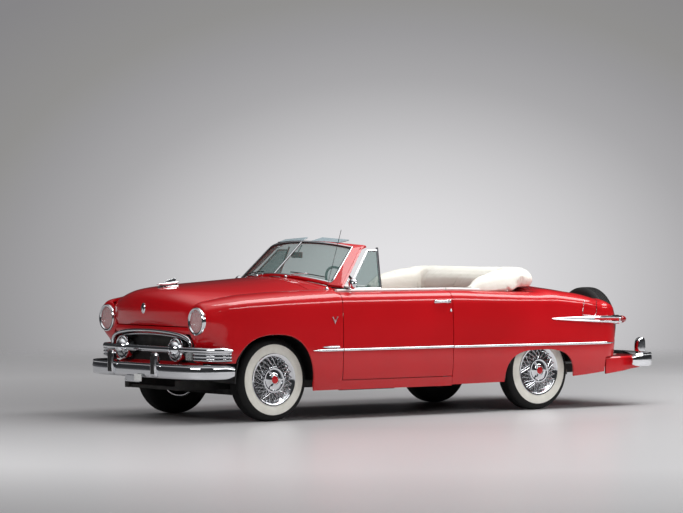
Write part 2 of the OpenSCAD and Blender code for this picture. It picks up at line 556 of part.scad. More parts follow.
// Rim, disc, hub and dished cover, turned about the axle, with the cover on the +x side
rim_section = [[rim_r, bead_x + 1], [rim_r + 12, bead_x + 2], [rim_r + 12, bead_x + 6], [rim_r - 8, bead_x + 4], [rim_r - 8, 40],
    [150, 66], [62, 58], [60, 76], [0, 80], [0, 50], [60, 48], [150, 54], [rim_r - 10, 14], [rim_r - 10, -bead_x - 4],
    [rim_r + 12, -bead_x - 6], [rim_r + 12, -bead_x - 2], [rim_r, -bead_x - 1]];
module wheel(bored = true) color(bright) {
    rotate([0, 90, 0]) rotate_extrude($fn = 72) polygon(rim_section);
    difference() {
        union() {
            rod_x(58, -24, 28, 0, 0);
            rod_x(rim_r - 9.6, -6, 2, 0, 0);
        }
        if (bored) rod_x(spindle_r + run_fit, -100, 60, 0, 0);
    }
}
spring_front = wheelbase - 656;
spring_rear = wheelbase + 584;
module leaf_springs() color(dark) mirrored() {
    side_plate([[spring_front, 290], [wheelbase, 250], [spring_rear, 290], [spring_rear, 310], [wheelbase, 280],
        [spring_front, 310]], 440, 490);
    box([440, 490], [wheelbase - 60, wheelbase + 60], [270, tyre_r - 38 - seat_gap]);
    for (y = [spring_front - 5, spring_rear - 5])
        box([rail_x + rail_w / 2 + seat_gap, 490], [y - 20, y + 20], [286, 330]);
}
module engine_block() color(dark) {
    box([-240, 240], [-300, 480], [300, 880]);
    box([-rail_x + rail_w / 2 + seat_gap, rail_x - rail_w / 2 - seat_gap], [120, 200], [300, 342]);
}
module radiator() color(dark) {
    box([-310, 310], [-520, -450], [400, 960]);
    box([-410, 410], [-520, -480], [342.4, 410]);
    mirrored() box([rail_x - 20, corner_x + 12], [-560, -500], [342.4, 372]);
}
module driveline() color(dark) {
    rod_y(95, 480.4, 1000, 0, gearbox_z);
    rod_y(34, 1000, wheelbase - 122, 0, shaft_z);
}
module exhaust() color(dark) {
    rod_y(24, 500, wheelbase + 904, -300, 230);
    rod_y(62, 1500, 2100, -300, 230);
    for (y = [1320, kick_y - 80]) box([-306, -294], [y, y + 16], [245, 262 - seat_gap]);
    rod_x(24, -300, -230, 524, 230);
}
module fuel_tank() color(dark) {
    box([-340, 340], [wheelbase + 430, wheelbase + 590], [345, 520]);
    mirrored() box([300, 330], [wheelbase + 450, wheelbase + 500], [500, trunk_floor_z - 10 - seat_gap]);
}

// ---- seats and fabric ----

module front_seat() color(cream) {
    translate([0, front_seat_y, 0]) {
        side_plate([[-470, 430], [-480, 600], [-450, 632], [-80, 596], [30, 1000], [70, 1012], [108, 990], [60, 430]],
            -640, 640);
        mirrored() box([130, 560], [-410, 20], [floor_z + seat_gap, 430 - seat_gap]);
    }
}
module rear_seat() color(cream) {
    translate([0, wheelbase - rear_seat_to_axle, 0]) {
        side_plate([[-506, 420], [-516, 590], [-486, 618], [-136, 584], [-26, 990], [24, 996], [54, 970], [-26, 610],
            [-86, 480], [-266, 420]], -575, 575);
        mirrored() box([130, 540], [-476, -296], [floor_z + seat_gap, 420 - seat_gap]);
    }
}
// Centre of the folded top's roll, as x and the distance ahead of the rear axle, then its half width and top
boot_rows = [[735, 736, 34, 1112], [722, 616, 62, 1190], [692, 416, 90, 1240], [646, 226, 124, 1258],
    [550, 116, 190, 1256], [300, 56, 236, 1250], [0, 46, 240, 1248]];
boot_on_deck = 60;    // the roll's underside above the belt, behind the front of the deck
// Half section of the roll as shares of its half width and its height
boot_section = [[-1, 0], [1, 0], [1, 0.45], [0.6, 0.9], [0, 1], [-0.6, 0.9], [-1, 0.45]];
boot_path = [for (s = [1, -1]) for (k = [0:len(boot_rows) - 1])
    let (r = boot_rows[s > 0 ? k : len(boot_rows) - 1 - k]) if (s > 0 || k > 0) [s * r[0], wheelbase - r[1], r[2], r[3]]];
function boot_base(y) = edge_z(y) + (y > deck_front ? boot_on_deck : 0.3);
module boot_cover() color(cream) tube([for (k = [0:len(boot_path) - 1])
    let (r = boot_path[k], a = boot_path[max(0, k - 1)], b = boot_path[min(len(boot_path) - 1, k + 1)],
        d = [b[1] - a[1], a[0] - b[0]] / norm([b[1] - a[1], a[0] - b[0]]), z = boot_base(r[1]))
    [for (q = boot_section) [r[0] + d[0] * r[2] * q[0], r[1] + d[1] * r[2] * q[0], z + (r[3] - z) * q[1]]]]);

// ---- lamps, bumpers and trim ----

module headlamps() color(bright) mirrored() translate([headlamp_x, 0, headlamp_z]) rotate([90, 0, 0]) {
    translate([0, 0, 560]) cylinder(r = headlamp_r - 10, h = 140);
    translate([0, 0, 696]) cylinder(r1 = headlamp_r, r2 = headlamp_r - 12, h = 22);
}
// Path round the front or rear end as [x, y, direction across], between two ends
function wrap(a, x, y0, depth, e) = let (s = a < 0 ? -1 : 1)
    [x * s * pow(abs(sin(a)), e), y0 - depth * pow(cos(a), e)];
wrap_n = 9;
// Bar of [out, up] section swept round an end of the car
module wrapped_bar(x, y0, depth, e, section, z) {
    path = [for (k = [-wrap_n:wrap_n]) wrap(89.9 * k / wrap_n, x, y0, depth, e)];
    tube([for (k = [0:2 * wrap_n]) let (a = path[max(0, k - 1)], b = path[min(2 * wrap_n, k + 1)], d = (b - a) / norm(b - a),
            o = depth > 0 ? [d[1], -d[0]] : [-d[1], d[0]])
        [for (q = depth < 0 ? section : [for (i = [len(section) - 1:-1:0]) section[i]])
            [path[k][0] + o[0] * q[0], path[k][1] + o[1] * q[0], z + q[1]]]]);
}
bumper_section = [[0, -54], [10, -50], [16, -30], [20, 0], [16, 30], [10, 50], [0, 54], [4, 0]];
bar_section = [[0, -24], [14, -20], [22, 0], [14, 20], [0, 24]];
module grille() color(bright) meshed() {
    wrapped_bar(half_w - 37, -480, 260, 0.62, bar_section, 606);
    mirrored() {
        translate([405, -722, 606]) scale([1, 0.7, 1]) sphere(r = 98, $fn = 32);
        rod_y(24, -720, -636.4, 405, 606);
    }
    // arched upper moulding
    for (k = [0:11]) let (a = 15 * k, b = 15 * (k + 1), r = 13) hull() for (t = [a, b])
        translate([-600 * cos(t), -737 + 34 * pow(cos(t), 2), 620 + 140 * pow(sin(t), 0.5)]) sphere(r = r, $fn = 8);
}
module front_bumper() color(bright) meshed() {
    wrapped_bar(half_w - 43, -440, 430, 0.5, bumper_section, 432);
    mirrored() {
        hull() {
            box([300, 360], [-front_overhang + 12, -862], [372, 560]);
            box([310, 350], [-front_overhang, -front_overhang + 7], [390, 589]);
        }
        box([rail_x - 20, rail_x + 20], [-872, -700.4], [400, 430]);
        box([rail_x - 20, rail_x + 20], [-740, -700.4], [300, 430]);
    }
}
rear_end = wheelbase + rear_overhang;
module rear_bumper() color(bright) meshed() {
    wrapped_bar(half_w - 30, wheelbase + 1010, -420, 0.5, bumper_section, 420);
    mirrored() {
        hull() {
            box([530, 590], [rear_end - 30, rear_end - 12], [472, 580]);
            box([540, 580], [rear_end - 6, rear_end], [480, 610]);
        }
        box([540, 580], [rear_end - 70, rear_end - 20], [440, 500]);
        box([rail_x - 20, rail_x + 20], [wheelbase + 1100.4, rear_end - 44], [340, 370]);
    }
}
module plate_bracket() color(bright) difference() {
    union() {
        box([-110, 110], [-front_overhang + 18, -front_overhang + 22], [330, 382]);
        mirrored() box([40, 60], [-front_overhang + 22, -front_overhang + 31.5], [372, 382]);
    }
    for (x = [-89, 89]) rod_y(3.5, -front_overhang, -front_overhang + 30, x, 345);
}
spare_y = wheelbase + 1254;
spare_z = 715;
module spare_tyre() translate([0, spare_y, spare_z]) rotate([0, 0, 90]) tyre();
module spare_wheel() {
    translate([0, spare_y, spare_z]) rotate([0, 0, 90]) wheel(false);
    // carrier post behind the tail
    color(dark) box([-30, 30], [spare_y - 138, spare_y - 98], [456.4, spare_z + 30]);
    color(dark) box([-28, 28], [spare_y - 98, spare_y - 20], [spare_z - 28, spare_z + 28]);
}
module tail_lamps() color("darkred") mirrored() translate([half_w - 69, wheelbase + 888, 796]) rotate([-90, 0, 0]) {
    cylinder(r = 36, h = 70);
    translate([0, 0, 70]) cylinder(r1 = 36, r2 = 6, h = 60);
}
module body_trim() color(bright) mirrored() {
    side_strip(323, fender_rear - 1, trim_z - trim_h / 2, trim_z + trim_h / 2, 9);
    side_strip(quarter_front + 1, wheelbase + 700, trim_z - trim_h / 2 - 6, trim_z + trim_h / 2 - 10, 9);
    side_strip(wheelbase + 60, wheelbase + 690, 770, 830, 12);
}
module antenna() color(bright) {
    translate([half_w - 155, 579, 1096.9]) cylinder(r = 14, h = 18);
    translate([half_w - 155, 579, 1108]) rotate([-17, 0, 0]) cylinder(r = 3, h = 520);
}

module placed() translate([0, front_axle_y, 0]) children();
module turned_wheel(side, y) translate([side * track / 2, y, tyre_r]) scale_x(side) children();
module scale_x(side) if (side < 0) mirror([1, 0, 0]) children(); else children();

placed() {
    frame_rails();
    floor_pan();
    firewall();
    cowl_panel();
    front_fender();  // front_fender_left
    mirror([1, 0, 0]) front_fender();  // front_fender_right
    nose_panel();
    wheel_wells();
    rocker_panels();
    quarter_panel();  // quarter_panel_left
    mirror([1, 0, 0]) quarter_panel();  // quarter_panel_right
    rear_deck();
    tail_panel();
    bumper_extension();
    windshield_frame();
    windshield_glass();
    dashboard();
    steering_column();
    front_seat();
    rear_seat();
    boot_cover();
    grille();
    front_bumper();
    plate_bracket();
    rear_bumper();
    headlamps();
    tail_lamps();
    body_trim();
    antenna();
    engine_block();
    radiator();
    front_suspension();
    rear_axle();
    leaf_springs();
    driveline();
    exhaust();
    fuel_tank();
    spare_tyre();
    spare_wheel();
    hood();
    hood_ornament();
    trunk_lid();
    door_with_arms();  // door_left
    door_trim();  // door_trim_left
    vent_glass();  // vent_glass_left
    mirror([1, 0, 0]) door_with_arms();  // door_right
    mirror([1, 0, 0]) door_trim();  // door_trim_right
    mirror([1, 0, 0]) vent_glass();  // vent_glass_right
    knuckle();  // knuckle_left
    mirror([1, 0, 0]) knuckle();  // knuckle_right
    turned_wheel(1, 0) tyre();  // tyre_front_left
    turned_wheel(1, 0) wheel();  // wheel_front_left
    turned_wheel(-1, 0) tyre();  // tyre_front_right
    turned_wheel(-1, 0) wheel();  // wheel_front_right
    turned_wheel(1, wheelbase) tyre();  // tyre_rear_left
    turned_wheel(1, wheelbase) wheel();  // wheel_rear_left
    turned_wheel(-1, wheelbase) tyre();  // tyre_rear_right
    turned_wheel(-1, wheelbase) wheel();  // wheel_rear_right
    steering_wheel();
}
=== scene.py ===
"""1950s two-door convertible: enamel body with bright trim, whitewall tyres and a cream folded-top cover."""
import math

import bmesh
import bpy
import numpy as np
from mathutils import Matrix, Vector

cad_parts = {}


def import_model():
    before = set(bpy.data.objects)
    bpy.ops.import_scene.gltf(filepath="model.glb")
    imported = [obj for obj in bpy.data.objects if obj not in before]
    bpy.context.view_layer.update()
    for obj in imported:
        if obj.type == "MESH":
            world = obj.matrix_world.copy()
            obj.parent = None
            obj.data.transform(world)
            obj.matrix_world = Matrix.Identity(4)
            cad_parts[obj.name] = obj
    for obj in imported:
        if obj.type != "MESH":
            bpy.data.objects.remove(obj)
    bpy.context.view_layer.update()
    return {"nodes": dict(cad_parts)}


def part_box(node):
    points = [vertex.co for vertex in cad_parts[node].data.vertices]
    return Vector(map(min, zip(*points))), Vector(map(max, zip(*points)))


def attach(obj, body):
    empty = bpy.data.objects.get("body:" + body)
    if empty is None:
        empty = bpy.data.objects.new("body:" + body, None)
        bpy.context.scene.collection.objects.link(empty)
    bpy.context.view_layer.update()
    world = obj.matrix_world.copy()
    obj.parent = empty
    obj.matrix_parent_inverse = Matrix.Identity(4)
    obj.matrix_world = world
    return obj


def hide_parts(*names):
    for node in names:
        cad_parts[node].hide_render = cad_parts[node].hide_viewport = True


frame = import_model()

# ---------------------------------------------------------------- driving sizes, in mm aft of the front axle


def centre(node):
    low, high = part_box(node)
    return (low + high) / 2


AXLE_Y = centre("tyre_front_left").y
WHEELBASE = (centre("tyre_rear_left").y - AXLE_Y) * 1000
TRACK = centre("tyre_front_left").x * 2000
TYRE_R = centre("tyre_front_left").z * 1000
HALF_W = 915
GAP = 6
DOOR_FRONT = 645
DOOR_REAR = WHEELBASE - 1066
BELT_Z = 1078
ROCKER_Z = 250
DOOR_Z = 336
HOOD_END = 400
DECK_Y = WHEELBASE + 224
TAIL_Y = WHEELBASE + 1004
TRIM_Z = 590
SKIN = 20
CROWN = 2.4      # how flat the hood, lid and deck are before they drop to their edges
LEFT, RIGHT = 1, -1


# ---------------------------------------------------------------- number helpers


def curve(rows, column=1):
    """Smooth function through the rows' first column and the given one, with no overshoot."""
    xs = np.array([r[0] for r in rows], float)
    ys = np.array([r[column] for r in rows], float)
    step = np.diff(xs)
    slope = np.diff(ys) / step
    tangent = np.zeros(len(xs))
    tangent[0], tangent[-1] = slope[0], slope[-1]
    for i in range(1, len(xs) - 1):
        if slope[i - 1] * slope[i] > 0:
            w1, w2 = 2 * step[i] + step[i - 1], step[i] + 2 * step[i - 1]
            tangent[i] = (w1 + w2) / (w1 / slope[i - 1] + w2 / slope[i])

    def value(x):
        x = min(max(x, xs[0]), xs[-1])
        i = min(int(np.searchsorted(xs, x, side="right")) - 1, len(xs) - 2)
        t = (x - xs[i]) / step[i]
        a, b = 2 * t**3 - 3 * t**2 + 1, t**3 - 2 * t**2 + t
        c, d = -2 * t**3 + 3 * t**2, t**3 - t**2
        return float(a * ys[i] + b * step[i] * tangent[i] + c * ys[i + 1] + d * step[i] * tangent[i + 1])

    return value


def spread(a, b, n):
    return [a + (b - a) * i / (n - 1) for i in range(n)]


def smooth_path(points, n):
    """n points on a smooth curve through the given ones, evenly spaced by length."""
    pts = np.array(points, float)
    along = np.concatenate([[0], np.cumsum(np.linalg.norm(np.diff(pts, axis=0), axis=1))])
    axes = [curve([(s, p[k]) for s, p in zip(along, pts)]) for k in range(pts.shape[1])]
    return [tuple(f(s) for f in axes) for s in spread(0, along[-1], n)]


# ---------------------------------------------------------------- mesh helpers


def object_from(name, points, faces, material, smooth_angle=35):
    """Object from points in mm aft of the front axle, with its normals outward."""
    mesh = bpy.data.meshes.new(name)
    coords = [(p[0] / 1000, p[1] / 1000 + AXLE_Y, p[2] / 1000) for p in points]
    mesh.from_pydata(coords, [], [list(f) for f in faces])
    work = bmesh.new()
    work.from_mesh(mesh)
    bmesh.ops.remove_doubles(work, verts=work.verts, dist=1e-6)
    bmesh.ops.dissolve_degenerate(work, edges=work.edges, dist=1e-6)
    bmesh.ops.recalc_face_normals(work, faces=work.faces)
    work.to_mesh(mesh)
    work.free()
    for m in material if isinstance(material, (list, tuple)) else [material]:
        mesh.materials.append(m)
    obj = bpy.data.objects.new(name, mesh)
    bpy.context.scene.collection.objects.link(obj)
    shade(obj, smooth_angle)
    return obj


def shade(obj, angle):
    mesh = obj.data
    mesh.shade_smooth()
    work = bmesh.new()
    work.from_mesh(mesh)
    for edge in work.edges:
        if len(edge.link_faces) == 2 and edge.calc_face_angle(0) > math.radians(angle):
            edge.smooth = False
    work.to_mesh(mesh)
    work.free()


def apply_modifiers(obj):
    graph = bpy.context.evaluated_depsgraph_get()
    mesh = bpy.data.meshes.new_from_object(obj.evaluated_get(graph), depsgraph=graph)
    obj.modifiers.clear()
    obj.data = mesh
    return obj


def bevel(obj, width_mm, segments=2, angle=40):
    mod = obj.modifiers.new("edge round", "BEVEL")
    mod.width = width_mm / 1000
    mod.segments = segments
    mod.limit_method = "ANGLE"
    mod.angle_limit = math.radians(angle)
    apply_modifiers(obj)
    shade(obj, 50)
    return obj


def subdivide(obj, levels):
    mod = obj.modifiers.new("subdivision", "SUBSURF")
    mod.levels = levels
    mod.render_levels = levels
    apply_modifiers(obj)
    obj.data.shade_smooth()
    return obj


def joined(name, parts):
    """One object from several, keeping each one's materials."""
    work = bmesh.new()
    materials = []
    for part in parts:
        start = len(work.faces)
        work.from_mesh(part.data)
        work.faces.ensure_lookup_table()
        index = []
        for m in part.data.materials:
            if m not in materials:
                materials.append(m)
            index.append(materials.index(m))
        for face in work.faces[start:]:
            face.material_index = index[min(face.material_index, len(index) - 1)]
    mesh = bpy.data.meshes.new(name)
    work.to_mesh(mesh)
    work.free()
    for m in materials:
        mesh.materials.append(m)
    for part in parts:
        bpy.data.objects.remove(part)
    obj = bpy.data.objects.new(name, mesh)
    bpy.context.scene.collection.objects.link(obj)
    return obj


def mirror_copy(obj, name):
    mesh = obj.data.copy()
    mesh.transform(Matrix.Diagonal((-1, 1, 1, 1)))
    mesh.flip_normals()
    twin = bpy.data.objects.new(name, mesh)
    bpy.context.scene.collection.objects.link(twin)
    return twin


def grid_faces(rows, cols, start=0, close_cols=False):
    faces = []
    for r in range(rows - 1):
        for c in range(cols if close_cols else cols - 1):
            d = (c + 1) % cols
            i = start + r * cols
            faces.append((i + c, i + d, i + cols + d, i + cols + c))
    return faces


def end_caps(rows, cols):
    """Faces that close the first and the last row of a tube of points."""
    return [tuple(range(cols)), tuple((rows - 1) * cols + c for c in reversed(range(cols)))]


def panel(name, outer, thickness, material, inner=None, edge=2.0):
    """Closed panel from a grid of outer points, set in by its thickness or down to given inner points."""
    grid = np.array(outer, float)
    rows, cols = grid.shape[:2]
    if inner is None:
        along = np.gradient(grid, axis=0)
        across = np.gradient(grid, axis=1)
        normal = np.cross(across, along)
        normal /= np.maximum(np.linalg.norm(normal, axis=2, keepdims=True), 1e-9)
        inner_grid = grid - normal * thickness
    else:
        inner_grid = np.array(inner, float)
    n = rows * cols
    faces = grid_faces(rows, cols) + [tuple(reversed(f)) for f in grid_faces(rows, cols, n)]
    rim = [r * cols for r in range(rows)] + [(rows - 1) * cols + c for c in range(1, cols)]
    rim += [r * cols + cols - 1 for r in range(rows - 2, -1, -1)] + list(range(cols - 2, 0, -1))
    for a, b in zip(rim, rim[1:] + rim[:1]):
        faces.append((a, b, n + b, n + a))
    points = np.concatenate([grid.reshape(-1, 3), inner_grid.reshape(-1, 3)])
    obj = object_from(name, points, faces, material)
    return bevel(obj, edge) if edge else obj


def sweep(name, path, section, material, closed=False, scale=None, up=(0, 0, 1)):
    """Solid swept along a path: section points are (sideways, upwards) from the path."""
    pts = np.array(path, float)
    n, m = len(pts), len(section)
    points = []
    for i in range(n):
        a = pts[(i - 1) % n] if closed or i > 0 else pts[i]
        b = pts[(i + 1) % n] if closed or i < n - 1 else pts[i]
        ahead = (b - a) / np.linalg.norm(b - a)
        side = np.cross(ahead, up)
        side /= np.linalg.norm(side)
        top = np.cross(side, ahead)
        k = scale(i / (n - 1)) if scale else (1, 1)
        points += [pts[i] + side * s * k[0] + top * t * k[1] for s, t in section]
    faces = grid_faces(n, m, close_cols=True)
    if closed:
        faces += [((n - 1) * m + c, (n - 1) * m + (c + 1) % m, (c + 1) % m, c) for c in range(m)]
    else:
        faces += end_caps(n, m)
    return object_from(name, points, faces, material)


def circle_section(rx, rz=None, n=12):
    rz = rx if rz is None else rz
    return [(rx * math.cos(2 * math.pi * k / n), rz * math.sin(2 * math.pi * k / n)) for k in range(n)]


def rod(name, path, radius, material, n=12, up=(0, 0, 1)):
    return sweep(name, path, circle_section(radius, n=n), material, up=up)


def turned(name, profile, material, at, axis="x", n=72, closed=True, squash_z=1.0):
    """Solid turned about an axis through a point, from (radius, distance along the axis) points."""
    points = []
    for k in range(n):
        a = 2 * math.pi * k / n
        for r, d in profile:
            u, v = r * math.cos(a), r * math.sin(a) * squash_z
            points.append({"x": (d, u, v), "y": (u, -d, v), "z": (u, v, d)}[axis])
    points = np.array(points) + np.array(at)
    m = len(profile)
    faces = []
    for k in range(n):
        j = (k + 1) % n
        for c in range(m if closed else m - 1):
            d = (c + 1) % m
            faces.append((k * m + c, k * m + d, j * m + d, j * m + c))
    return object_from(name, points, faces, material)


def block(name, x, y, z, material, round_mm=3):
    points = [(a, b, c) for a in x for b in y for c in z]
    faces = [(0, 1, 3, 2), (4, 6, 7, 5), (0, 4, 5, 1), (2, 3, 7, 6), (0, 2, 6, 4), (1, 5, 7, 3)]
    obj = object_from(name, points, faces, material)
    return bevel(obj, round_mm) if round_mm else obj


def dress(obj, *materials):
    """Gives a piece these materials in place of its own."""
    obj.data.materials.clear()
    for m in materials:
        obj.data.materials.append(m)
    return obj


def settle(obj, body, slot, *nodes):
    """Ties a finished piece to its body and hides the plain nodes it stands for; the slot is not used."""
    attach(obj, body)
    if nodes:
        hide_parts(*nodes)
    return obj


def both_sides(make, name, body, slot, node=None):
    """A left piece and its mirrored right twin. A body or node given with a star is completed by the side."""
    left = make(name + "_left")
    right = mirror_copy(left, name + "_right")
    for obj, side in ((left, "left"), (right, "right")):
        settle(obj, body.replace("*", side), slot, *([node.replace("*", side)] if node else []))
    return left, right


# ---------------------------------------------------------------- material helpers


def linear(hex_colour):
    """sRGB hex to the linear colour that a shader reads."""
    values = [int(hex_colour[i : i + 2], 16) / 255 for i in (1, 3, 5)]
    return tuple(v / 12.92 if v <= 0.04045 else ((v + 0.055) / 1.055) ** 2.4 for v in values) + (1,)


def node(material, kind, links=None, **values):
    """Adds a node. Values set its sockets or properties; links feed its sockets from other nodes' outputs."""
    tree = material.node_tree
    made = tree.nodes.new(kind)
    for key, value in values.items():
        words = key.replace("_", " ")
        found = [s for s in made.inputs if s.name.lower() == words.lower()]
        if found:
            found[0].default_value = value
        else:
            setattr(made, key, value)
    for socket, source in (links or {}).items():
        target = made.inputs[socket]
        origin = source if isinstance(source, bpy.types.NodeSocket) else source.outputs[0]
        tree.links.new(origin, target)
    return made


def new_material(name, colour, metallic=0.0, roughness=0.4, ior=None, **extra):
    material = bpy.data.materials.new(name)
    material.use_nodes = True
    shader = material.node_tree.nodes["Principled BSDF"]
    shader.inputs["Base Color"].default_value = linear(colour)
    shader.inputs["Metallic"].default_value = metallic
    shader.inputs["Roughness"].default_value = roughness
    if ior:
        shader.inputs["IOR"].default_value = ior
    for key, value in extra.items():
        shader.inputs[key.replace("_", " ")].default_value = value
    return material, shader


def noise(material, size_mm, detail=2.0, stretch=(1, 1, 1)):
    """Noise on object coordinates, whose blobs are about size_mm across."""
    where = node(material, "ShaderNodeTexCoord")
    mapped = node(material, "ShaderNodeMapping", {"Vector": where.outputs["Object"]}, Scale=stretch)
    return node(material, "ShaderNodeTexNoise", {"Vector": mapped}, Scale=1000 / size_mm, Detail=detail)


def ribs_every(material, pitch_mm, axis="X"):
    """Parallel ribs on object coordinates, pitch_mm apart."""
    where = node(material, "ShaderNodeTexCoord")
    scale = 2 * math.pi / 20 / (pitch_mm / 1000)
    return node(material, "ShaderNodeTexWave", {"Vector": where.outputs["Object"]}, Scale=scale, bands_direction=axis)


def ramp(material, source, low, high, a, b):
    return node(material, "ShaderNodeMapRange", {"Value": source}, From_Min=low, From_Max=high, To_Min=a, To_Max=b)


def bump(material, shader, height, distance_mm, strength=1.0):
    made = node(material, "ShaderNodeBump", {"Height": height}, Strength=strength, Distance=distance_mm / 1000)
    material.node_tree.links.new(made.outputs[0], shader.inputs["Normal"])
    return made


def tint(material, shader, source, colour_a, colour_b):
    """Base colour that varies between two colours with a 0 to 1 source."""
    mix = node(material, "ShaderNodeMix", data_type="RGBA")
    material.node_tree.links.new(source.outputs[0], mix.inputs["Factor"])
    mix.inputs[6].default_value = linear(colour_a)
    mix.inputs[7].default_value = linear(colour_b)
    material.node_tree.links.new(mix.outputs[2], shader.inputs["Base Color"])
    return mix


def rough_by(material, shader, source, low, high):
    made = ramp(material, source, 0.3, 0.7, low, high)
    material.node_tree.links.new(made.outputs[0], shader.inputs["Roughness"])


# ---------------------------------------------------------------- materials


def red_enamel():
    # sprayed and polished enamel: deep colour under a clear gloss, with a trace of orange peel
    m, s = new_material("red_enamel", "#B40A12", roughness=0.35, ior=1.5, Coat_Weight=1.0, Coat_Roughness=0.03,
                        Specular_IOR_Level=0.1)
    tint(m, s, ramp(m, noise(m, 900), 0.35, 0.65, 0, 1), "#B60811", "#C20A15")
    bump(m, s, noise(m, 9), 0.05, 0.5)
    return m


def chrome_plate():
    # plated and buffed steel: near mirror, with faint polishing haze
    m, s = new_material("chrome_plate", "#DDDFE2", metallic=1.0, roughness=0.06)
    rough_by(m, s, noise(m, 60), 0.04, 0.10)
    return m


def tyre_rubber():
    # vulcanised rubber: black with a dry grey bloom
    m, s = new_material("tyre_rubber", "#0C0C0D", roughness=0.72, ior=1.52, Specular_IOR_Level=0.35)
    tint(m, s, ramp(m, noise(m, 40, 4), 0.3, 0.7, 0, 1), "#090909", "#131314")
    bump(m, s, noise(m, 3), 0.2, 0.6)
    return m


def whitewall_rubber():
    # white rubber band, slightly ivory, scrubbed
    m, s = new_material("whitewall_rubber", "#ECEAE0", roughness=0.6, ior=1.52)
    tint(m, s, ramp(m, noise(m, 70, 3), 0.3, 0.7, 0, 1), "#E6E4D9", "#F2F0E7")
    bump(m, s, noise(m, 4), 0.08, 0.5)
    return m


def boot_vinyl():
    # coated cloth with a fine leather-like grain, soft folds shaded by their geometry
    m, s = new_material("boot_vinyl", "#E6E4DA", roughness=0.55, ior=1.48, Sheen_Weight=0.1)
    tint(m, s, ramp(m, noise(m, 160, 3), 0.3, 0.7, 0, 1), "#E1DFD4", "#E9E7DE")
    bump(m, s, noise(m, 110, 4), 0.45, 9)
    return m


def seat_vinyl():
    # moulded grain vinyl in warm ivory
    m, s = new_material("ivory_seat_vinyl", "#E9E3D2", roughness=0.42, ior=1.48)
    tint(m, s, ramp(m, noise(m, 120, 3), 0.3, 0.7, 0, 1), "#E4DDCB", "#EDE8D8")
    bump(m, s, noise(m, 3, 3), 0.15, 0.6)
    return m


def red_vinyl():
    # the same vinyl dyed red for inserts and door panels
    m, s = new_material("red_seat_vinyl", "#A3161C", roughness=0.4, ior=1.48)
    tint(m, s, ramp(m, noise(m, 120, 3), 0.3, 0.7, 0, 1), "#98141A", "#AC191F")
    bump(m, s, noise(m, 3, 3), 0.15, 0.6)
    return m


def black_paint():
    # brushed-on chassis black with road dust
    m, s = new_material("chassis_black", "#17181A", roughness=0.55, ior=1.5)
    tint(m, s, ramp(m, noise(m, 200, 5), 0.35, 0.7, 0, 1), "#131416", "#2A2926")
    rough_by(m, s, noise(m, 80, 4), 0.45, 0.75)
    return m


def carpet_and_pan():
    # floor pan: loop-pile carpet on the faces that look up, chassis black below
    m, s = new_material("carpeted_floor", "#3A1214", roughness=0.9, Sheen_Weight=0.3)
    facing = node(m, "ShaderNodeNewGeometry")
    split = node(m, "ShaderNodeSeparateXYZ", {"Vector": facing.outputs["Normal"]})
    tint(m, s, ramp(m, split.outputs["Z"], 0.4, 0.6, 0, 1), "#17181A", "#5A171B")
    bump(m, s, noise(m, 6, 4), 1.5, 0.8)
    return m


def cast_iron():
    # sand-cast iron, rough and dull
    m, s = new_material("cast_iron", "#3A3B3D", metallic=0.7, roughness=0.6)
    bump(m, s, noise(m, 8, 4), 0.6, 0.6)
    return m


def bare_steel():
    # rolled steel, unpainted, browned in patches
    m, s = new_material("aged_steel", "#6B6A68", metallic=0.9, roughness=0.45)
    tint(m, s, ramp(m, noise(m, 50, 5), 0.4, 0.7, 0, 1), "#727374", "#5A4C42")
    return m


def clear_glass():
    # laminated sheet glass, faintly green, shown thin so that it lets the cabin show
    m, s = new_material("green_sheet_glass", "#527470", roughness=0.02, ior=1.52, Alpha=0.42)
    rough_by(m, s, noise(m, 300), 0.015, 0.03)
    return m


def lamp_glass():
    # pressed headlamp glass with vertical flutes
    m, s = new_material("pressed_lamp_glass", "#EAF0F0", roughness=0.04, ior=1.52, Alpha=0.24)
    bump(m, s, ribs_every(m, 11.22), 2.0, 0.6)
    return m


def lens_red():
    # injection-moulded acrylic with fine ribs
    m, s = new_material("red_lamp_plastic", "#8C0A10", roughness=0.12, ior=1.49, Coat_Weight=0.6)
    bump(m, s, ribs_every(m, 7.854, "Z"), 1.0, 0.4)
    return m


def black_plastic():
    # compression-moulded black plastic, polished by use
    m, s = new_material("black_moulded_plastic", "#161516", roughness=0.25, ior=1.49)
    bump(m, s, noise(m, 20), 0.05, 0.3)
    return m


def rubber_seal():
    # extruded rubber
    m, s = new_material("black_rubber_seal", "#0E0E0F", roughness=0.6, ior=1.52)
    bump(m, s, noise(m, 6), 0.1, 0.4)
    return m


def white_paint():
    # stoved white enamel
    m, s = new_material("white_plate_enamel", "#E9EAE8", roughness=0.35, ior=1.5)
    bump(m, s, noise(m, 12), 0.05, 0.4)
    return m


def visor_vinyl():
    # grey-blue vinyl on a stiff board
    m, s = new_material("visor_vinyl", "#8E9DA3", roughness=0.5, ior=1.48)
    bump(m, s, noise(m, 4, 3), 0.15, 0.6)
    return m


RED = red_enamel()
VISOR = visor_vinyl()
CHROME = chrome_plate()
RUBBER = tyre_rubber()
WHITEWALL = whitewall_rubber()
BOOT = boot_vinyl()
IVORY = seat_vinyl()
RED_VINYL = red_vinyl()
BLACK = black_paint()
CARPET = carpet_and_pan()
IRON = cast_iron()
STEEL = bare_steel()
GLASS = clear_glass()
LAMP_GLASS = lamp_glass()
LENS = lens_red()
PLASTIC = black_plastic()
SEAL = rubber_seal()
WHITE = white_paint()

# ---------------------------------------------------------------- body surface

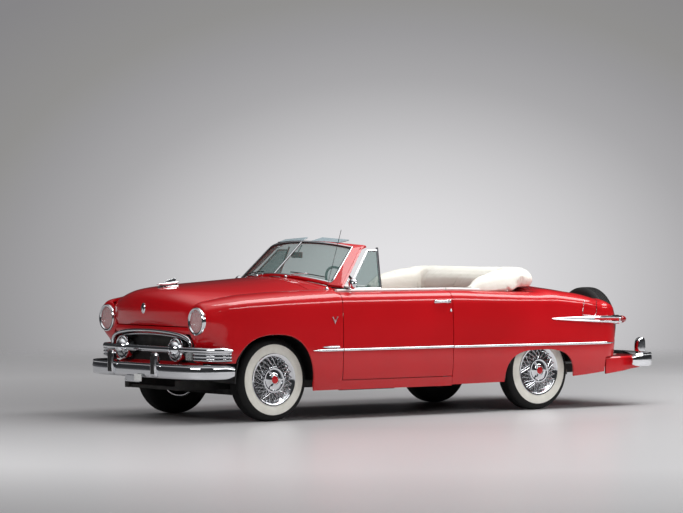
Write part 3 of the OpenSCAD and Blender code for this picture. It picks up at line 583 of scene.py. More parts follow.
REAR = WHEELBASE
EDGE_ROWS = [
    (-430, 660, 1046, 925), (-313, 675, 1062, 930), (327, 715, 1096, 935), (600, 742, 1100, 935),
    (DOOR_FRONT - GAP, 792, BELT_Z, 935), (DOOR_REAR, 792, BELT_Z, 935), (REAR - 527, 770, BELT_Z - 14, 935),
    (REAR - 70, 745, BELT_Z - 26, 940), (REAR + 94, 646, BELT_Z - 2, 935), (REAR + 300, 646, 1056, 920),
    (REAR + 500, 642, 1030, 900), (REAR + 700, 630, 985, 870),
]
EDGE_X, EDGE_Z, SHOULDER_Z = curve(EDGE_ROWS, 1), curve(EDGE_ROWS, 2), curve(EDGE_ROWS, 3)
WIDTH_CUT = curve([(-430, 40), (-300, 18), (-150, 5), (0, 0), (REAR + 100, 0), (REAR + 500, 12), (REAR + 700, 30)])
ROCKER_LINE = curve([(-500, 500), (-440, 500), (-400, ROCKER_Z), (REAR - 400, ROCKER_Z + 16),
                     (REAR + 370, ROCKER_Z + 46), (REAR + 714, ROCKER_Z + 74), (REAR + 900, ROCKER_Z + 90)])
FRONT_ARCH = (-50, 425, 402, 737, 2.5)
REAR_ARCH = (REAR - 46, 425, 385, 546, 2.9)
CORNER_Y = -430
TAIL_CORNER = REAR + 724
LID_EDGE_X = 596


def bow(z):
    return 9 * ((z - 640) / 300) ** 2 if z > 640 else 30 * ((640 - z) / 390) ** 2.6


def side_x(y, z=640):
    """Half width of the body side at a station and height."""
    return HALF_W - WIDTH_CUT(y) - bow(z)


def arch_z(y, arch):
    middle, ahead, behind, top, power = arch
    u = abs(y - middle) / (ahead if y < middle else behind)
    return ROCKER_Z + (top - ROCKER_Z) * (1 - u**power) ** (1 / power) if u < 1 else ROCKER_Z


def arch_stations(arch, n):
    middle, ahead, behind = arch[:3]
    return [middle + (ahead if k < 0 else behind) * math.sin(math.pi / 2 * k / n) for k in range(-n, n + 1)]


def lower_z(y):
    return max(arch_z(y, FRONT_ARCH), arch_z(y, REAR_ARCH), ROCKER_LINE(y))


def side_section(y, low, shoulder=14, slab=20):
    """Section of the body side as (x, z, how much it faces up), from its upper inner edge down."""
    x0, z0, x1, zs = EDGE_X(y), EDGE_Z(y), side_x(y, SHOULDER_Z(y)), SHOULDER_Z(y)
    points = []
    for i in range(shoulder):
        t = math.pi / 2 * i / shoulder
        points.append((x0 + (x1 - x0) * math.sin(t) ** 0.8, zs + (z0 - zs) * math.cos(t) ** 0.8, math.cos(t)))
    for i in range(slab + 1):
        z = zs + (low - zs) * i / slab
        points.append((side_x(y, z), z, 0.0))
    return points


def side_row(y, low):
    return [(x, y, z) for x, z, _ in side_section(y, low)]


FACE_Y = curve([(400, -640), (600, -660), (750, -690), (900, -690), (980, -672), (1046, -655)])
FACE_X = curve([(400, 600), (700, 590), (760, 560), (800, 540), (862, 560), (930, 585), (985, 616), (1046, 640)])
LAMP = (687, 848)


def corner_row(t):
    """Row round the front corner, from the straight side (t = 0) to the face's inner edge (t = 90 degrees)."""
    row = []
    for x, z, up in side_section(CORNER_Y, 500):
        z -= up * 70 * math.sin(t) ** 2
        xi, depth = FACE_X(z) + GAP, CORNER_Y - FACE_Y(z)
        ease = depth * math.sin(t) * (1 - math.sin(t))
        z -= 0.13 * ease * up
        px, y = xi + (x - xi) * math.cos(t) - 0.16 * ease, CORNER_Y - depth * math.sin(t)
        away = math.hypot(px - LAMP[0], z - LAMP[1])
        w = min(max((215 - away) / (215 - 112), 0), 1) * min(1, 1.5 * math.sin(t))
        row.append((px, y + (min(-700, y) - y) * w * w * (3 - 2 * w), z))
    return row


def front_fender(name):
    rows = [corner_row(math.pi / 2 * k / 40) for k in range(40, 0, -1)]
    stations = [y for y in arch_stations(FRONT_ARCH, 26) if y > CORNER_Y + 4]
    rows += [side_row(y, lower_z(y)) for y in [CORNER_Y] + stations + spread(365, DOOR_FRONT - GAP, 22)]
    return panel(name, rows, SKIN, RED, edge=2.5)


both_sides(front_fender, "fender_skin", "body", "red_enamel", "front_fender_*")


def arch_lip(name, arch, body_rows=26):
    """Rolled edge round a wheel opening."""
    path = [(side_x(y, lower_z(y)) - 6, y, lower_z(y)) for y in arch_stations(arch, body_rows) if y > CORNER_Y + 4]
    return rod(name, path, 6, RED, up=(1, 0, 0))


for lip_name, lip_arch in (("front_arch_lip", FRONT_ARCH), ("rear_arch_lip", REAR_ARCH)):
    both_sides(lambda name, arch=lip_arch: arch_lip(name, arch), lip_name, "body", "red_enamel")


# ---------------------------------------------------------------- hood, cowl, nose

HOOD_ROWS = [
    (-722, 800, 540, -692, 800), (-762, 850, 558, -700, 862), (-782, 925, 581, -694, 930),
    (-774, 1002, 610, -660, 985), (-738, 1062, 632, -606, 1010), (-645, 1110, 645, -500, 1034),
    (-392, 1140, 667, -313, 1060), (0, 1168, 691, 60, 1080), (HOOD_END, 1196, 713, HOOD_END + 30, 1092),
]
LID_ROWS = [
    (DECK_Y, 1106, 640, DECK_Y, 1065), (REAR + 304, 1096, 640, REAR + 304, 1055),
    (REAR + 504, 1070, 636, REAR + 500, 1029), (REAR + 704, 1030, 624, REAR + 700, 984),
    (REAR + 850, 972, LID_EDGE_X + 6, REAR + 826, 940), (REAR + 950, 900, LID_EDGE_X - 4, REAR + 938, 890),
    (REAR + 1000, 800, LID_EDGE_X - 4, REAR + 972, 800), (REAR + 1010, 700, LID_EDGE_X - 4, REAR + 979, 700),
    (REAR + 1005, 606, LID_EDGE_X - 4, REAR + 973, 606),
]


def crowned_grid(rows, along, across):
    """Smooth grid over rows of (centre y, centre z, edge x, edge y, edge z), crowned across the car."""
    columns = []
    for u in spread(-1, 1, across):
        w = abs(u) ** CROWN
        pts = [(ex * u, cy + (ey - cy) * w, cz + (ez - cz) * w) for cy, cz, ex, ey, ez in rows]
        columns.append(smooth_path(pts, along))
    return [[columns[c][r] for c in range(across)] for r in range(along)]


HOOD_GRID = crowned_grid(HOOD_ROWS, 72, 57)
settle(panel("hood_skin", HOOD_GRID, 16, RED, edge=2.5), "hood", "red_enamel", "hood")
settle(panel("trunk_lid_skin", crowned_grid(LID_ROWS, 60, 49), 16, RED, edge=2.5), "trunk_lid", "red_enamel",
       "trunk_lid")


def glass_low(u):
    return np.array((682 * u, 575 + 112 * u * u, 1216 - 66 * u * u))


def glass_high(u):
    return np.array((598 * u, 872 + 92 * u * u, 1492 - 50 * abs(u) ** 2.3))


RAKE = np.array((0, -0.707, 0.707))


def frame_foot(u):
    return glass_low(u) + np.array((10 * u, -12 - 8 * u * u, -18 - 4 * u * u))


def cowl():
    columns = []
    for u in spread(-1, 1, 49):
        w = abs(u) ** CROWN
        foot = frame_foot(u) - RAKE * 15
        pts = [(718 * u, HOOD_END + GAP + 30 * w, 1196 - 104 * w), (710 * u, 500 + 70 * w, 1200 - 93 * w),
               tuple(foot), tuple(foot + RAKE * -14)]
        columns.append(smooth_path(pts, 14))
    grid = [[columns[c][r] for c in range(49)] for r in range(14)]
    side = []
    for s, at in ((-1, 0), (1, -1)):
        edge_y = [min(p[1], DOOR_FRONT - GAP) for p in (row[at] for row in grid)]
        side.append([(s * EDGE_X(y), y, EDGE_Z(y)) for y in edge_y])
    return [[side[0][r]] + grid[r] + [side[1][r]] for r in range(14)]


settle(panel("cowl_skin", cowl(), 18, RED, edge=1.5), "body", "red_enamel", "cowl_panel")


def swept_across(name, outline, half, bulge, material, n=33, edge=2):
    """Solid across the car: an outline of (y, z) points, moved by bulge at the sides."""
    rings = [(half * u, p[0] + bulge * u * u, p[1]) for u in spread(-1, 1, n) for p in outline]
    m = len(outline)
    faces = grid_faces(n, m, close_cols=True) + end_caps(n, m)
    obj = object_from(name, rings, faces, material)
    return bevel(obj, edge) if edge else obj


nose_band = swept_across("nose_band", [(-724, 794), (-730, 765), (-722, 738), (-690, 734), (-690, 794)], 562, 30, RED)
settle(nose_band, "body", "red_enamel", "nose_panel")
# black panel behind the grille: its black is painted shade in the recess
recess_shade_panel = swept_across("grille_recess_painted_shade", [(-655, 745), (-650, 480), (-636, 480), (-636, 745)], 586, 32, BLACK)
settle(recess_shade_panel, "body", "underbody_black")
valance = swept_across("front_valance", [(-650, 505), (-706, 480), (-712, 440), (-690, 392), (-640, 392),
                                         (-632, 480)],
                       600, 60, RED, edge=6)
settle(valance, "body", "red_enamel")

# ---------------------------------------------------------------- doors, quarters, deck and tail


def door(name):
    stations = spread(DOOR_FRONT, DOOR_REAR, 60)
    outer = [side_row(y, DOOR_Z) for y in stations]
    inner = [[(770, min(max(y, DOOR_FRONT + 70), DOOR_REAR - 30), z) for _, _, z in row]
             for y, row in zip(stations, outer)]
    return panel(name, outer, SKIN, RED, inner=inner, edge=2.5)


both_sides(door, "door_skin", "door_*", "red_enamel", "door_*")

TAIL_FACE_Y = curve([(440, REAR + 946), (600, REAR + 972), (720, REAR + 980), (830, REAR + 968), (915, REAR + 940),
                     (985, REAR + 860)])


def tail_row(t):
    row = []
    for x, z, up in side_section(TAIL_CORNER, 457):
        z -= up * 80 * math.sin(t) ** 2
        xi = LID_EDGE_X + GAP
        row.append((xi + (x - xi) * math.cos(t), TAIL_CORNER + (TAIL_FACE_Y(z) - TAIL_CORNER) * math.sin(t), z))
    return row


def quarter(name):
    stations = spread(DOOR_REAR + GAP, REAR - 480, 26) + arch_stations(REAR_ARCH, 26) + spread(REAR + 350,
                                                                                               REAR + 714, 20)
    rows = [side_row(y, lower_z(y)) for y in stations]
    rows += [tail_row(math.pi / 2 * k / 24) for k in range(25)]
    skin = panel(name, rows, SKIN, RED, edge=2.5)
    section = side_section(DOOR_REAR + GAP, 356)
    jamb = [(x - 4, DOOR_REAR + GAP + 2, z - 3) for x, z, _ in section] + [(745, DOOR_REAR + GAP + 2, 356),
                                                                         (745, DOOR_REAR + GAP + 2, 1072)]
    back = [(x, y + 23, z) for x, y, z in jamb]
    n = len(jamb)
    faces = [tuple(range(n)), tuple(reversed(range(n, 2 * n)))] + [(i, (i + 1) % n, n + (i + 1) % n,
                                                                    n + i) for i in range(n)]
    return joined(name, [skin, object_from(name + "_jamb", jamb + back, faces, RED)])


both_sides(quarter, "quarter_skin", "body", "red_enamel", "quarter_panel_*")


def deck():
    front, back = REAR - 246, DECK_Y - GAP
    height = curve([(front, 1050), (REAR - 60, 1078), (back, 1107)])
    rows = []
    for y in spread(front, back, 24):
        rows.append([((EDGE_X(y) - 0.4) * u, y, height(y) + (EDGE_Z(y) - height(y)) * abs(u) ** CROWN)
                     for u in spread(-1, 1, 41)])
    return panel("rear_deck_skin", rows, 18, RED, edge=1.5)


settle(deck(), "body", "red_enamel", "rear_deck")
tail = swept_across("tail_skin", [(TAIL_Y - 22, 598), (TAIL_Y - 26, 457), (TAIL_Y - 4, 457), (TAIL_Y, 598)], 600,
                    -32, RED)
settle(tail, "body", "red_enamel", "tail_panel")


def bumper_extension():
    """Painted shelf that carries the spare wheel between the tail and the rear bumper."""
    rings = []
    stations = [(REAR + 740, 868, 300), (REAR + 960, 848, 322), (REAR + 1107, 812, 338), (REAR + 1230, 772, 346),
                (REAR + 1290, 700, 350)]
    half = curve(stations, 1)
    low = curve(stations, 2)
    for y in spread(REAR + 740, REAR + 1290, 24):
        h, z = half(y), low(y)
        rings.append([(-h, y, z), (-h, y, 440), (-h + 14, y, 455), (h - 14, y, 455), (h, y, 440), (h, y, z)])
    inner = [[(x * 0.975, y, z - (12 if z > 400 else 0)) for x, y, z in row] for row in rings]
    return panel("rear_apron", rings, 12, RED, inner=inner, edge=3)


settle(bumper_extension(), "body", "red_enamel", "bumper_extension")

# ---------------------------------------------------------------- windshield

FRAME_N = 41


def frame_loop():
    """Centre line pairs of the frame: the glass side and the outer side, all the way round."""
    loop = []
    for u in spread(-1, 1, FRAME_N):
        loop.append((glass_low(u), frame_foot(u)))
    for v in spread(0.04, 0.96, 18):
        loop.append((glass_low(1) + (glass_high(1) - glass_low(1)) * v,
                     np.array((778 - 150 * v, 722 + 330 * v, 1104 + 355 * v))))
    for u in spread(1, -1, FRAME_N):
        loop.append((glass_high(u), glass_high(u) + np.array((26 * u, 24 + 110 * abs(u) ** 6, 8 + 14 * u * u))))
    for v in spread(0.96, 0.04, 18):
        loop.append((glass_low(-1) + (glass_high(-1) - glass_low(-1)) * v,
                     np.array((-(778 - 150 * v), 722 + 330 * v, 1104 + 355 * v))))
    return loop


def windshield_surround():
    points, loop = [], frame_loop()
    for inner, outer in loop:
        points += [inner - RAKE * 14, inner + RAKE * 12, (inner + outer) / 2 + RAKE * 17, outer + RAKE * 12,
                   outer - RAKE * 14]
    n = len(loop)
    faces = grid_faces(n, 5, close_cols=True)
    faces += [((n - 1) * 5 + c, (n - 1) * 5 + (c + 1) % 5, (c + 1) % 5, c) for c in range(5)]
    return bevel(object_from("windshield_surround", points, faces, RED, 30), 2)


settle(windshield_surround(), "body", "red_enamel", "windshield_frame")


def glass_sheet(name, low, high, material, t=4, n=33):
    rows = [[tuple(low(u) + (high(u) - low(u)) * v) for u in spread(-1, 1, n)] for v in spread(0, 1, 9)]
    return panel(name, rows, t, material, edge=0)


settle(glass_sheet("windshield_pane", glass_low, glass_high, GLASS), "body", "clear_glass", "windshield_glass")
inset = [a + (b - a) * 0.12 + RAKE * 16 for a, b in frame_loop()]
reveal = sweep("windshield_reveal", inset, circle_section(7, 4, 8), CHROME, closed=True, up=RAKE)
settle(reveal, "body", "chrome_plate")
bead = [a + RAKE * 8 for a, b in frame_loop()]
settle(sweep("windshield_rubber", bead, circle_section(9, 5, 8), SEAL, closed=True, up=RAKE), "body",
       "tyre_rubber")
bar_path = [tuple(glass_low(0) + (glass_high(0) - glass_low(0)) * v + RAKE * 9) for v in spread(0, 1, 8)]
settle(sweep("windshield_bar", bar_path, circle_section(12, 7, 12), CHROME, up=RAKE), "body", "chrome_plate")

# ---------------------------------------------------------------- repeats


def repeat(name, piece, count, material, turn_degrees=0.0, step=(0, 0, 0)):
    """Copies of a piece, each turned about the x axis and moved on from the last, as one mesh."""
    tree = bpy.data.node_groups.new(name + "_repeat", "GeometryNodeTree")
    face = tree.interface
    face.new_socket("Geometry", in_out="INPUT", socket_type="NodeSocketGeometry")
    count_in = face.new_socket("Count", in_out="INPUT", socket_type="NodeSocketInt")
    turn_in = face.new_socket("Turn", in_out="INPUT", socket_type="NodeSocketFloat")
    step_in = face.new_socket("Step", in_out="INPUT", socket_type="NodeSocketVector")
    face.new_socket("Geometry", in_out="OUTPUT", socket_type="NodeSocketGeometry")
    nodes, link = tree.nodes, tree.links.new
    inputs, output = nodes.new("NodeGroupInput"), nodes.new("NodeGroupOutput")
    line = nodes.new("GeometryNodeMeshLine")
    link(inputs.outputs["Count"], line.inputs["Count"])
    link(inputs.outputs["Step"], line.inputs["Offset"])
    index = nodes.new("GeometryNodeInputIndex")
    angle = nodes.new("ShaderNodeMath")
    angle.operation = "MULTIPLY"
    link(index.outputs[0], angle.inputs[0])
    link(inputs.outputs["Turn"], angle.inputs[1])
    turn = nodes.new("ShaderNodeCombineXYZ")
    link(angle.outputs[0], turn.inputs["X"])
    place = nodes.new("GeometryNodeInstanceOnPoints")
    link(line.outputs[0], place.inputs["Points"])
    link(inputs.outputs["Geometry"], place.inputs["Instance"])
    link(turn.outputs[0], place.inputs["Rotation"])
    real = nodes.new("GeometryNodeRealizeInstances")
    link(place.outputs[0], real.inputs[0])
    paint = nodes.new("GeometryNodeSetMaterial")
    paint.inputs["Material"].default_value = material
    link(real.outputs[0], paint.inputs[0])
    link(paint.outputs[0], output.inputs[0])
    mod = piece.modifiers.new("repeat", "NODES")
    mod.node_group = tree
    mod[count_in.identifier] = count
    mod[turn_in.identifier] = math.radians(turn_degrees)
    mod[step_in.identifier] = Vector(step) / 1000
    apply_modifiers(piece)
    piece.name = name
    return piece


def place(obj, x=0.0, y=0.0, z=0.0):
    """Moves a piece's points, in mm, and leaves its origin alone."""
    obj.data.transform(Matrix.Translation(Vector((x, y, z)) / 1000))
    return obj


def about_axle(obj):
    """Points that were made on the front axle's line, brought to the frame's own zero."""
    return place(obj, y=-AXLE_Y * 1000)


# ---------------------------------------------------------------- wheels

TREAD_CUTS = (-40, -20, 0, 20, 40)


def tyre_profile():
    """(radius, distance from the centre plane) from the outer bead over the tread to the inner bead."""
    side = [(197, 80), (204, 84), (212, 85), (222, 86), (232, 88), (234, 88.6), (252, 89.6), (275, 89.6), (295, 88),
            (297, 86.5), (310, 85), (324, 79), (336, 70), (344, 61), (348, 54)]
    tread = []
    for cut in reversed(TREAD_CUTS):
        tread += [(350 if abs(cut) < 30 else 349, cut + 4), (342, cut + 2.5), (342, cut - 2.5),
                  (350 if abs(cut) < 30 else 349, cut - 4)]
    return side + tread + [(r, -d) for r, d in reversed(side)]


def make_tyre(name):
    profile, n = tyre_profile(), 144
    points = []
    for k in range(n):
        a = 2 * math.pi * k / n
        zigzag = (1.6, 0.0, -1.6, 0.0)[k % 4]
        for r, d in profile:
            shift = zigzag if r > 340 and abs(d) < 46 else 0
            points.append((d + shift, r * math.cos(a), r * math.sin(a)))
    m = len(profile)
    faces = [(k * m + c, k * m + (c + 1) % m, ((k + 1) % n) * m + (c + 1) % m, ((k + 1) % n) * m + c)
             for k in range(n) for c in range(m)]
    obj = object_from(name, points, faces, [RUBBER, WHITEWALL], 30)
    for face in obj.data.polygons:
        middle = face.center
        radius = math.hypot(middle.y - AXLE_Y, middle.z) * 1000
        if middle.x > 0.075 and 208 < radius < 297:
            face.material_index = 1
    return about_axle(obj)


def wheel_cover(name):
    """Chromed rim and wire-style cover, facing +x about the frame's zero."""
    rim = turned("rim", [(196.2, -86), (207, -90), (208, -84), (190, -76), (186, -20), (186, 30), (188, 62),
                         (198, 76),
                         (208, 80), (219, 85), (222, 89), (219, 92), (208, 91), (200, 86), (190, 72), (176, 60),
                         (174, 20), (178, -40), (184, -88)], CHROME, (0, 0, 0), n=96)
    bowl = turned("bowl", [(178, 58), (120, 50), (60, 52), (60, 46), (120, 44), (180, 52)], BLACK, (0, 0, 0), n=72)
    ring = turned("ring", [(112, 84), (108, 92), (98, 95), (88, 92), (84, 84), (84, 60), (112, 60)], CHROME,
                  (0, 0, 0), n=72)
    dish = turned("dish", [(86, 86), (60, 88), (44, 94), (38, 102), (33, 104), (0.5, 104), (0.5, 70), (86, 70)],
                  CHROME, (0, 0, 0), n=72)
    centre_disc = turned("centre_disc", [(32, 105.5), (0.5, 106.5), (0.5, 103), (32, 103)], RED, (0, 0, 0), n=48)
    parts = [about_axle(p) for p in (rim, bowl, ring, dish, centre_disc)]
    for tag, inner, outer, lean, start in (("a", (106, 88), (196, 76), 20, 0), ("b", (106, 88), (196, 76), -20, 7.5),
                                           ("c", (104, 72), (182, 64), 26, 3), ("d", (104, 72), (182, 64), -26,
                                                                                10.5)):
        a, b = math.radians(start), math.radians(start + lean)
        path = [(inner[1], inner[0] * math.cos(a), inner[0] * math.sin(a)),
                (outer[1], outer[0] * math.cos(b), outer[0] * math.sin(b))]
        spoke = about_axle(rod("spoke_" + tag, path, 2.7, CHROME, n=8, up=(1, 0, 0)))
        parts.append(repeat("spokes_" + tag, spoke, 24, CHROME, turn_degrees=15))
    blade = object_from("blade", [(92, 0, -9), (92, 0, 9), (104, 30, -7), (104, 30, 7), (99, 92, -5), (99, 92, 5),
                                  (86, 88, -8), (86, 88, 8)],
                        [(0, 2, 3, 1), (2, 4, 5, 3), (4, 6, 7, 5), (6, 0, 1, 7), (0, 6, 4, 2), (1, 3, 5, 7)], CHROME)
    parts.append(repeat("spinner_bars", about_axle(bevel(blade, 2)), 3, CHROME, turn_degrees=120))
    valve = about_axle(rod("valve", [(78, 0, -192), (92, 0, -186)], 4, SEAL, up=(0, 1, 0)))
    return joined(name, parts + [valve])


TYRE, COVER = make_tyre("tyre_pattern"), wheel_cover("cover_pattern")


def wheel_at(end, side, y):
    s = LEFT if side == "left" else RIGHT
    for pattern, kind, slot in ((TYRE, "tyre", "tyre_rubber"), (COVER, "wheel", "wheel_chrome")):
        mesh = pattern.data.copy()
        obj = bpy.data.objects.new(f"{kind}_look_{end}_{side}", mesh)
        bpy.context.scene.collection.objects.link(obj)
        if s < 0:
            mesh.transform(Matrix.Diagonal((-1, 1, 1, 1)))
            mesh.flip_normals()
        place(obj, s * TRACK / 2, AXLE_Y * 1000 + y, TYRE_R)
        settle(obj, f"wheel_{end}_{side}", slot, f"{kind}_{end}_{side}")


for end, station in (("front", 0), ("rear", REAR)):
    for side in ("left", "right"):
        wheel_at(end, side, station)

SPARE_Y, SPARE_Z = REAR + 1254, 715
for pattern, kind, slot in ((TYRE, "spare_tyre", "tyre_rubber"), (COVER, "spare_wheel", "wheel_chrome")):
    mesh = pattern.data.copy()
    mesh.transform(Matrix.Rotation(math.pi / 2, 4, "Z"))
    obj = bpy.data.objects.new(kind + "_look", mesh)
    bpy.context.scene.collection.objects.link(obj)
    place(obj, 0, AXLE_Y * 1000 + SPARE_Y, SPARE_Z)
    settle(obj, "body", slot, kind)
bpy.data.objects.remove(TYRE)
bpy.data.objects.remove(COVER)
post = block("spare_post", (-30, 30), (SPARE_Y - 138, SPARE_Y - 96), (456, SPARE_Z + 30), BLACK)
settle(post, "body", "underbody_black")
boss = block("spare_boss", (-28, 28), (SPARE_Y - 98, SPARE_Y - 20), (SPARE_Z - 28, SPARE_Z + 28), BLACK)
settle(boss, "body", "underbody_black")

# ---------------------------------------------------------------- bumpers and grille


def wrap_path(x, y0, depth, power, n=61, reach=math.pi / 2 - 0.002):
    """Path across the front (or the rear, with a negative depth) and round both corners."""
    path = []
    for a in spread(-reach, reach, n):
        s = -1 if a < 0 else 1
        path.append((x * s * abs(math.sin(a)) ** power, y0 - depth * math.cos(a) ** power))
    return path


def wrapped_bar(name, x, y0, depth, power, section, z, material, n=90, tips=0.0):
    path = [(p[0], p[1], z) for p in smooth_path(wrap_path(x, y0, depth, power, 121), n)]
    sign = 1 if depth > 0 else -1
    outline = [(sign * a, b) for a, b in section]

    def scale(t):
        end = min(t, 1 - t)
        k = 1 - tips * max(0, 1 - end / 0.04) ** 2
        return (1, k)

    return sweep(name, path, outline, material, scale=scale)


BUMPER_SECTION = [(0, -59), (7, -60), (13, -54), (17, -40), (19, -18), (20, 0), (19, 18), (16, 34), (13, 40),
                  (17, 47), (13, 58), (7, 60), (0, 59), (4, 44), (6, 0), (4, -44)]
front_bar = wrapped_bar("front_bumper_bar", 872, -440, 430, 0.5, BUMPER_SECTION, 432, CHROME, tips=0.35)
settle(front_bar, "body", "chrome_plate", "front_bumper")
rear_bar = wrapped_bar("rear_bumper_bar", 885, REAR + 1010, -420, 0.5, BUMPER_SECTION, 420, CHROME, tips=0.35)
settle(rear_bar, "body", "chrome_plate", "rear_bumper")


def guard(name, x, y_back, y_front, z_low, z_high, half=30, material=CHROME):
    """Upright guard with a rounded crown, from its outline in side view."""
    d = y_front - y_back
    outline = [(y_back, z_low), (y_back + 0.7 * d, z_low - 4), (y_back + 0.96 * d, z_low + 26), (y_front, z_low + 80),
               (y_front, z_high - 40), (y_back + 0.86 * d, z_high - 6), (y_back + 0.6 * d,
                                                                         z_high), (y_back + 0.2 * d, z_high - 14),
               (y_back, z_high - 50)]
    n, points = len(outline), []
    for u, pinch in ((-1, 0.86), (-0.6, 1), (0.6, 1), (1, 0.86)):
        mid_y, mid_z = (y_back + y_front) / 2, (z_low + z_high) / 2
        points += [(x + half * u, mid_y + (y - mid_y) * pinch,
                    mid_z + (z - mid_z) * (0.9 + 0.1 * pinch)) for y, z in outline]
    faces = grid_faces(4, n, close_cols=True) + end_caps(4, n)
    return subdivide(object_from(name, points, faces, material), 2)


both_sides(lambda name: guard(name, 330, -850, -911, 374, 588, 44), "front_guard", "body", "chrome_plate")
both_sides(lambda name: guard(name, 560, REAR + 1372, REAR + 1473, 430, 612, 34), "rear_guard", "body",
           "chrome_plate")
# black block on the face of each front guard, widened so that it paints the guard's dark reflection
both_sides(lambda name: block(name, (302, 358), (-911.5, -903), (404, 566), PLASTIC, 6), "front_guard_pad", "body",
           "tyre_rubber")
both_sides(lambda name: block(name, (365, 405), (-872, -700), (400, 430), BLACK), "bumper_iron", "body",
           "underbody_black")
both_sides(lambda name: block(name, (365, 405), (REAR + 1100, REAR + 1428), (340, 370), BLACK), "rear_bumper_iron",
           "body", "underbody_black")
plate = block("front_plate", (48, 158), (-905, -902), (338, 398), WHITE, 1)
settle(plate, "body", "red_enamel")

BAR_SECTION = [(0, -24), (9, -24), (17, -18), (22, -8), (22, 8), (17, 18), (9, 24), (0, 24)]
grille_bar = wrapped_bar("grille_bar", 878, -480, 260, 0.62, BAR_SECTION, 606, CHROME, tips=0.5)
settle(grille_bar, "body", "chrome_plate", "grille")


def arch_point(t):
    return (-600 * math.cos(t), -737 + 34 * math.cos(t) ** 2, 620 + 140 * max(math.sin(t), 0) ** 0.5)


arch_path = smooth_path([arch_point(t) for t in spread(0.0, math.pi, 61)], 80)
settle(rod("grille_arch", arch_path, 15, CHROME, up=(0, 1, 0)), "body", "chrome_plate")
inner_arch = [(x * 0.93, y + 22, 606 + (z - 606) * 0.8) for x, y, z in arch_path]
settle(rod("grille_arch_inner", inner_arch, 9, CHROME, up=(0, 1, 0)), "body", "chrome_plate")


def bullet(name):
    """Spinner in the grille: a deep ring round a ribbed cone."""
    at = (405, -722, 606)
    shell = turned("shell", [(98, -18), (101, 0), (99, 12), (93, 18), (87, 14), (85, 4), (85, -40), (92, -52)],
                   CHROME, at, "y")
    cone = turned("cone", [(80, -20), (79, 6), (72, 26), (56, 44), (36, 56), (16, 62), (0.5, 64), (0.5, -20)],
                  CHROME, at, "y")
    pit = turned("pit", [(86, 0), (0.5, 2), (0.5, -10), (86, -10)], BLACK, at, "y")
    ribs = []
    for turn in (0, 120, 240):
        a = math.radians(90 + turn)
        path = [(at[0] + r * math.cos(a), at[1] - d, at[2] + r * math.sin(a)) for r, d in ((88, 8), (78, 14),
                                                                                           (56, 47), (20, 64))]
        ribs.append(sweep("rib", smooth_path(path, 12), circle_section(6, 4, 8), CHROME, up=(0, 1, 0)))
    return joined(name, [shell, cone, pit] + ribs)


both_sides(bullet, "grille_bullet", "body", "chrome_plate")


def parking_lamp(name):
    path = [(p[0], p[1], 558) for p in smooth_path(wrap_path(872, -485, 255, 0.62, 121), 90) if p[0] > 640]
    ribs = [(0, -44)]
    for low in (-42, -14, 14):
        ribs += [(8, low), (18, low + 5), (20, low + 13), (18, low + 21), (8, low + 26)]
    housing = sweep("housing", path, ribs + [(0, 44)], CHROME)
    lens_path = [(p[0], p[1] - 4, 558) for p in smooth_path(wrap_path(872, -485, 255, 0.62, 121),
                                                            90) if 560 < p[0] < 645]
    lens = sweep("lens", lens_path, [(0, -34), (12, -34), (16, -20), (16, 20), (12, 34), (0, 34)], LAMP_GLASS)
    return joined(name, [housing, lens])


both_sides(parking_lamp, "parking_lamp_body", "body", "chrome_plate")


def headlamp(name):
    x, z = LAMP
    ring = turned("ring", [(92, 8), (98, 18), (108, 20), (115, 14), (118, 2), (117, -14), (108, -30), (96, -30)],
                  CHROME, (x, -700, z), "y", n=72)
    cup = turned("cup", [(96, -6), (60, -50), (0.5, -64), (0.5, -70), (70, -60), (104, -6)], CHROME, (x, -700, z),
                 "y")
    lens = turned("lens", [(94, 2), (80, 8), (50, 14), (0.5, 17), (0.5, 13), (50, 10), (80, 4), (94, -2)], LAMP_GLASS,
                  (x, -700, z), "y", n=72)
    return joined(name, [ring, cup, lens])


both_sides(headlamp, "headlamp", "body", "chrome_plate")
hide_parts("headlamps")

# ---------------------------------------------------------------- side trim


def skin_x(y, z):
    """Half width of the painted body, also where it turns round the tail corner."""
    if y <= TAIL_CORNER:
        return side_x(y, z)
    t = math.asin(min(1, (y - TAIL_CORNER) / (TAIL_FACE_Y(z) - TAIL_CORNER)))
    return LID_EDGE_X + GAP + (side_x(TAIL_CORNER, z) - LID_EDGE_X - GAP) * math.cos(t)


def side_strip(name, y0, y1, z0, z1, proud, n=60, front_taper=0.0, rear_taper=0.0, drop=0.0):
    """Moulding that follows the body side, tapered at its ends by a share of its length."""
    rings = []
    for k, y in enumerate(spread(y0, y1, n)):
        t = k / (n - 1)
        grow = min(1, (t + 0.002) / front_taper) if front_taper else 1
        grow = min(grow, (1 - t + 0.002) / rear_taper) if rear_taper else grow
        middle, half = (z0 + z1) / 2 - drop * t, (z1 - z0) / 2 * grow**0.6
        x = skin_x(y, middle)
        rings.append([(x + 0.4, y, middle + half), (x + proud * 0.7 * grow**0.5, y, middle + half * 0.8),
                      (x + proud * grow**0.5, y, middle + half * 0.2), (x + proud * grow**0.5, y,
                                                                        middle - half * 0.2),
                      (x + proud * 0.7 * grow**0.5, y, middle - half * 0.8), (x + 0.4, y, middle - half)])
    points = [p for ring in rings for p in ring]
    faces = grid_faces(n, 6, close_cols=True) + end_caps(n, 6)
    return object_from(name, points, faces, CHROME)


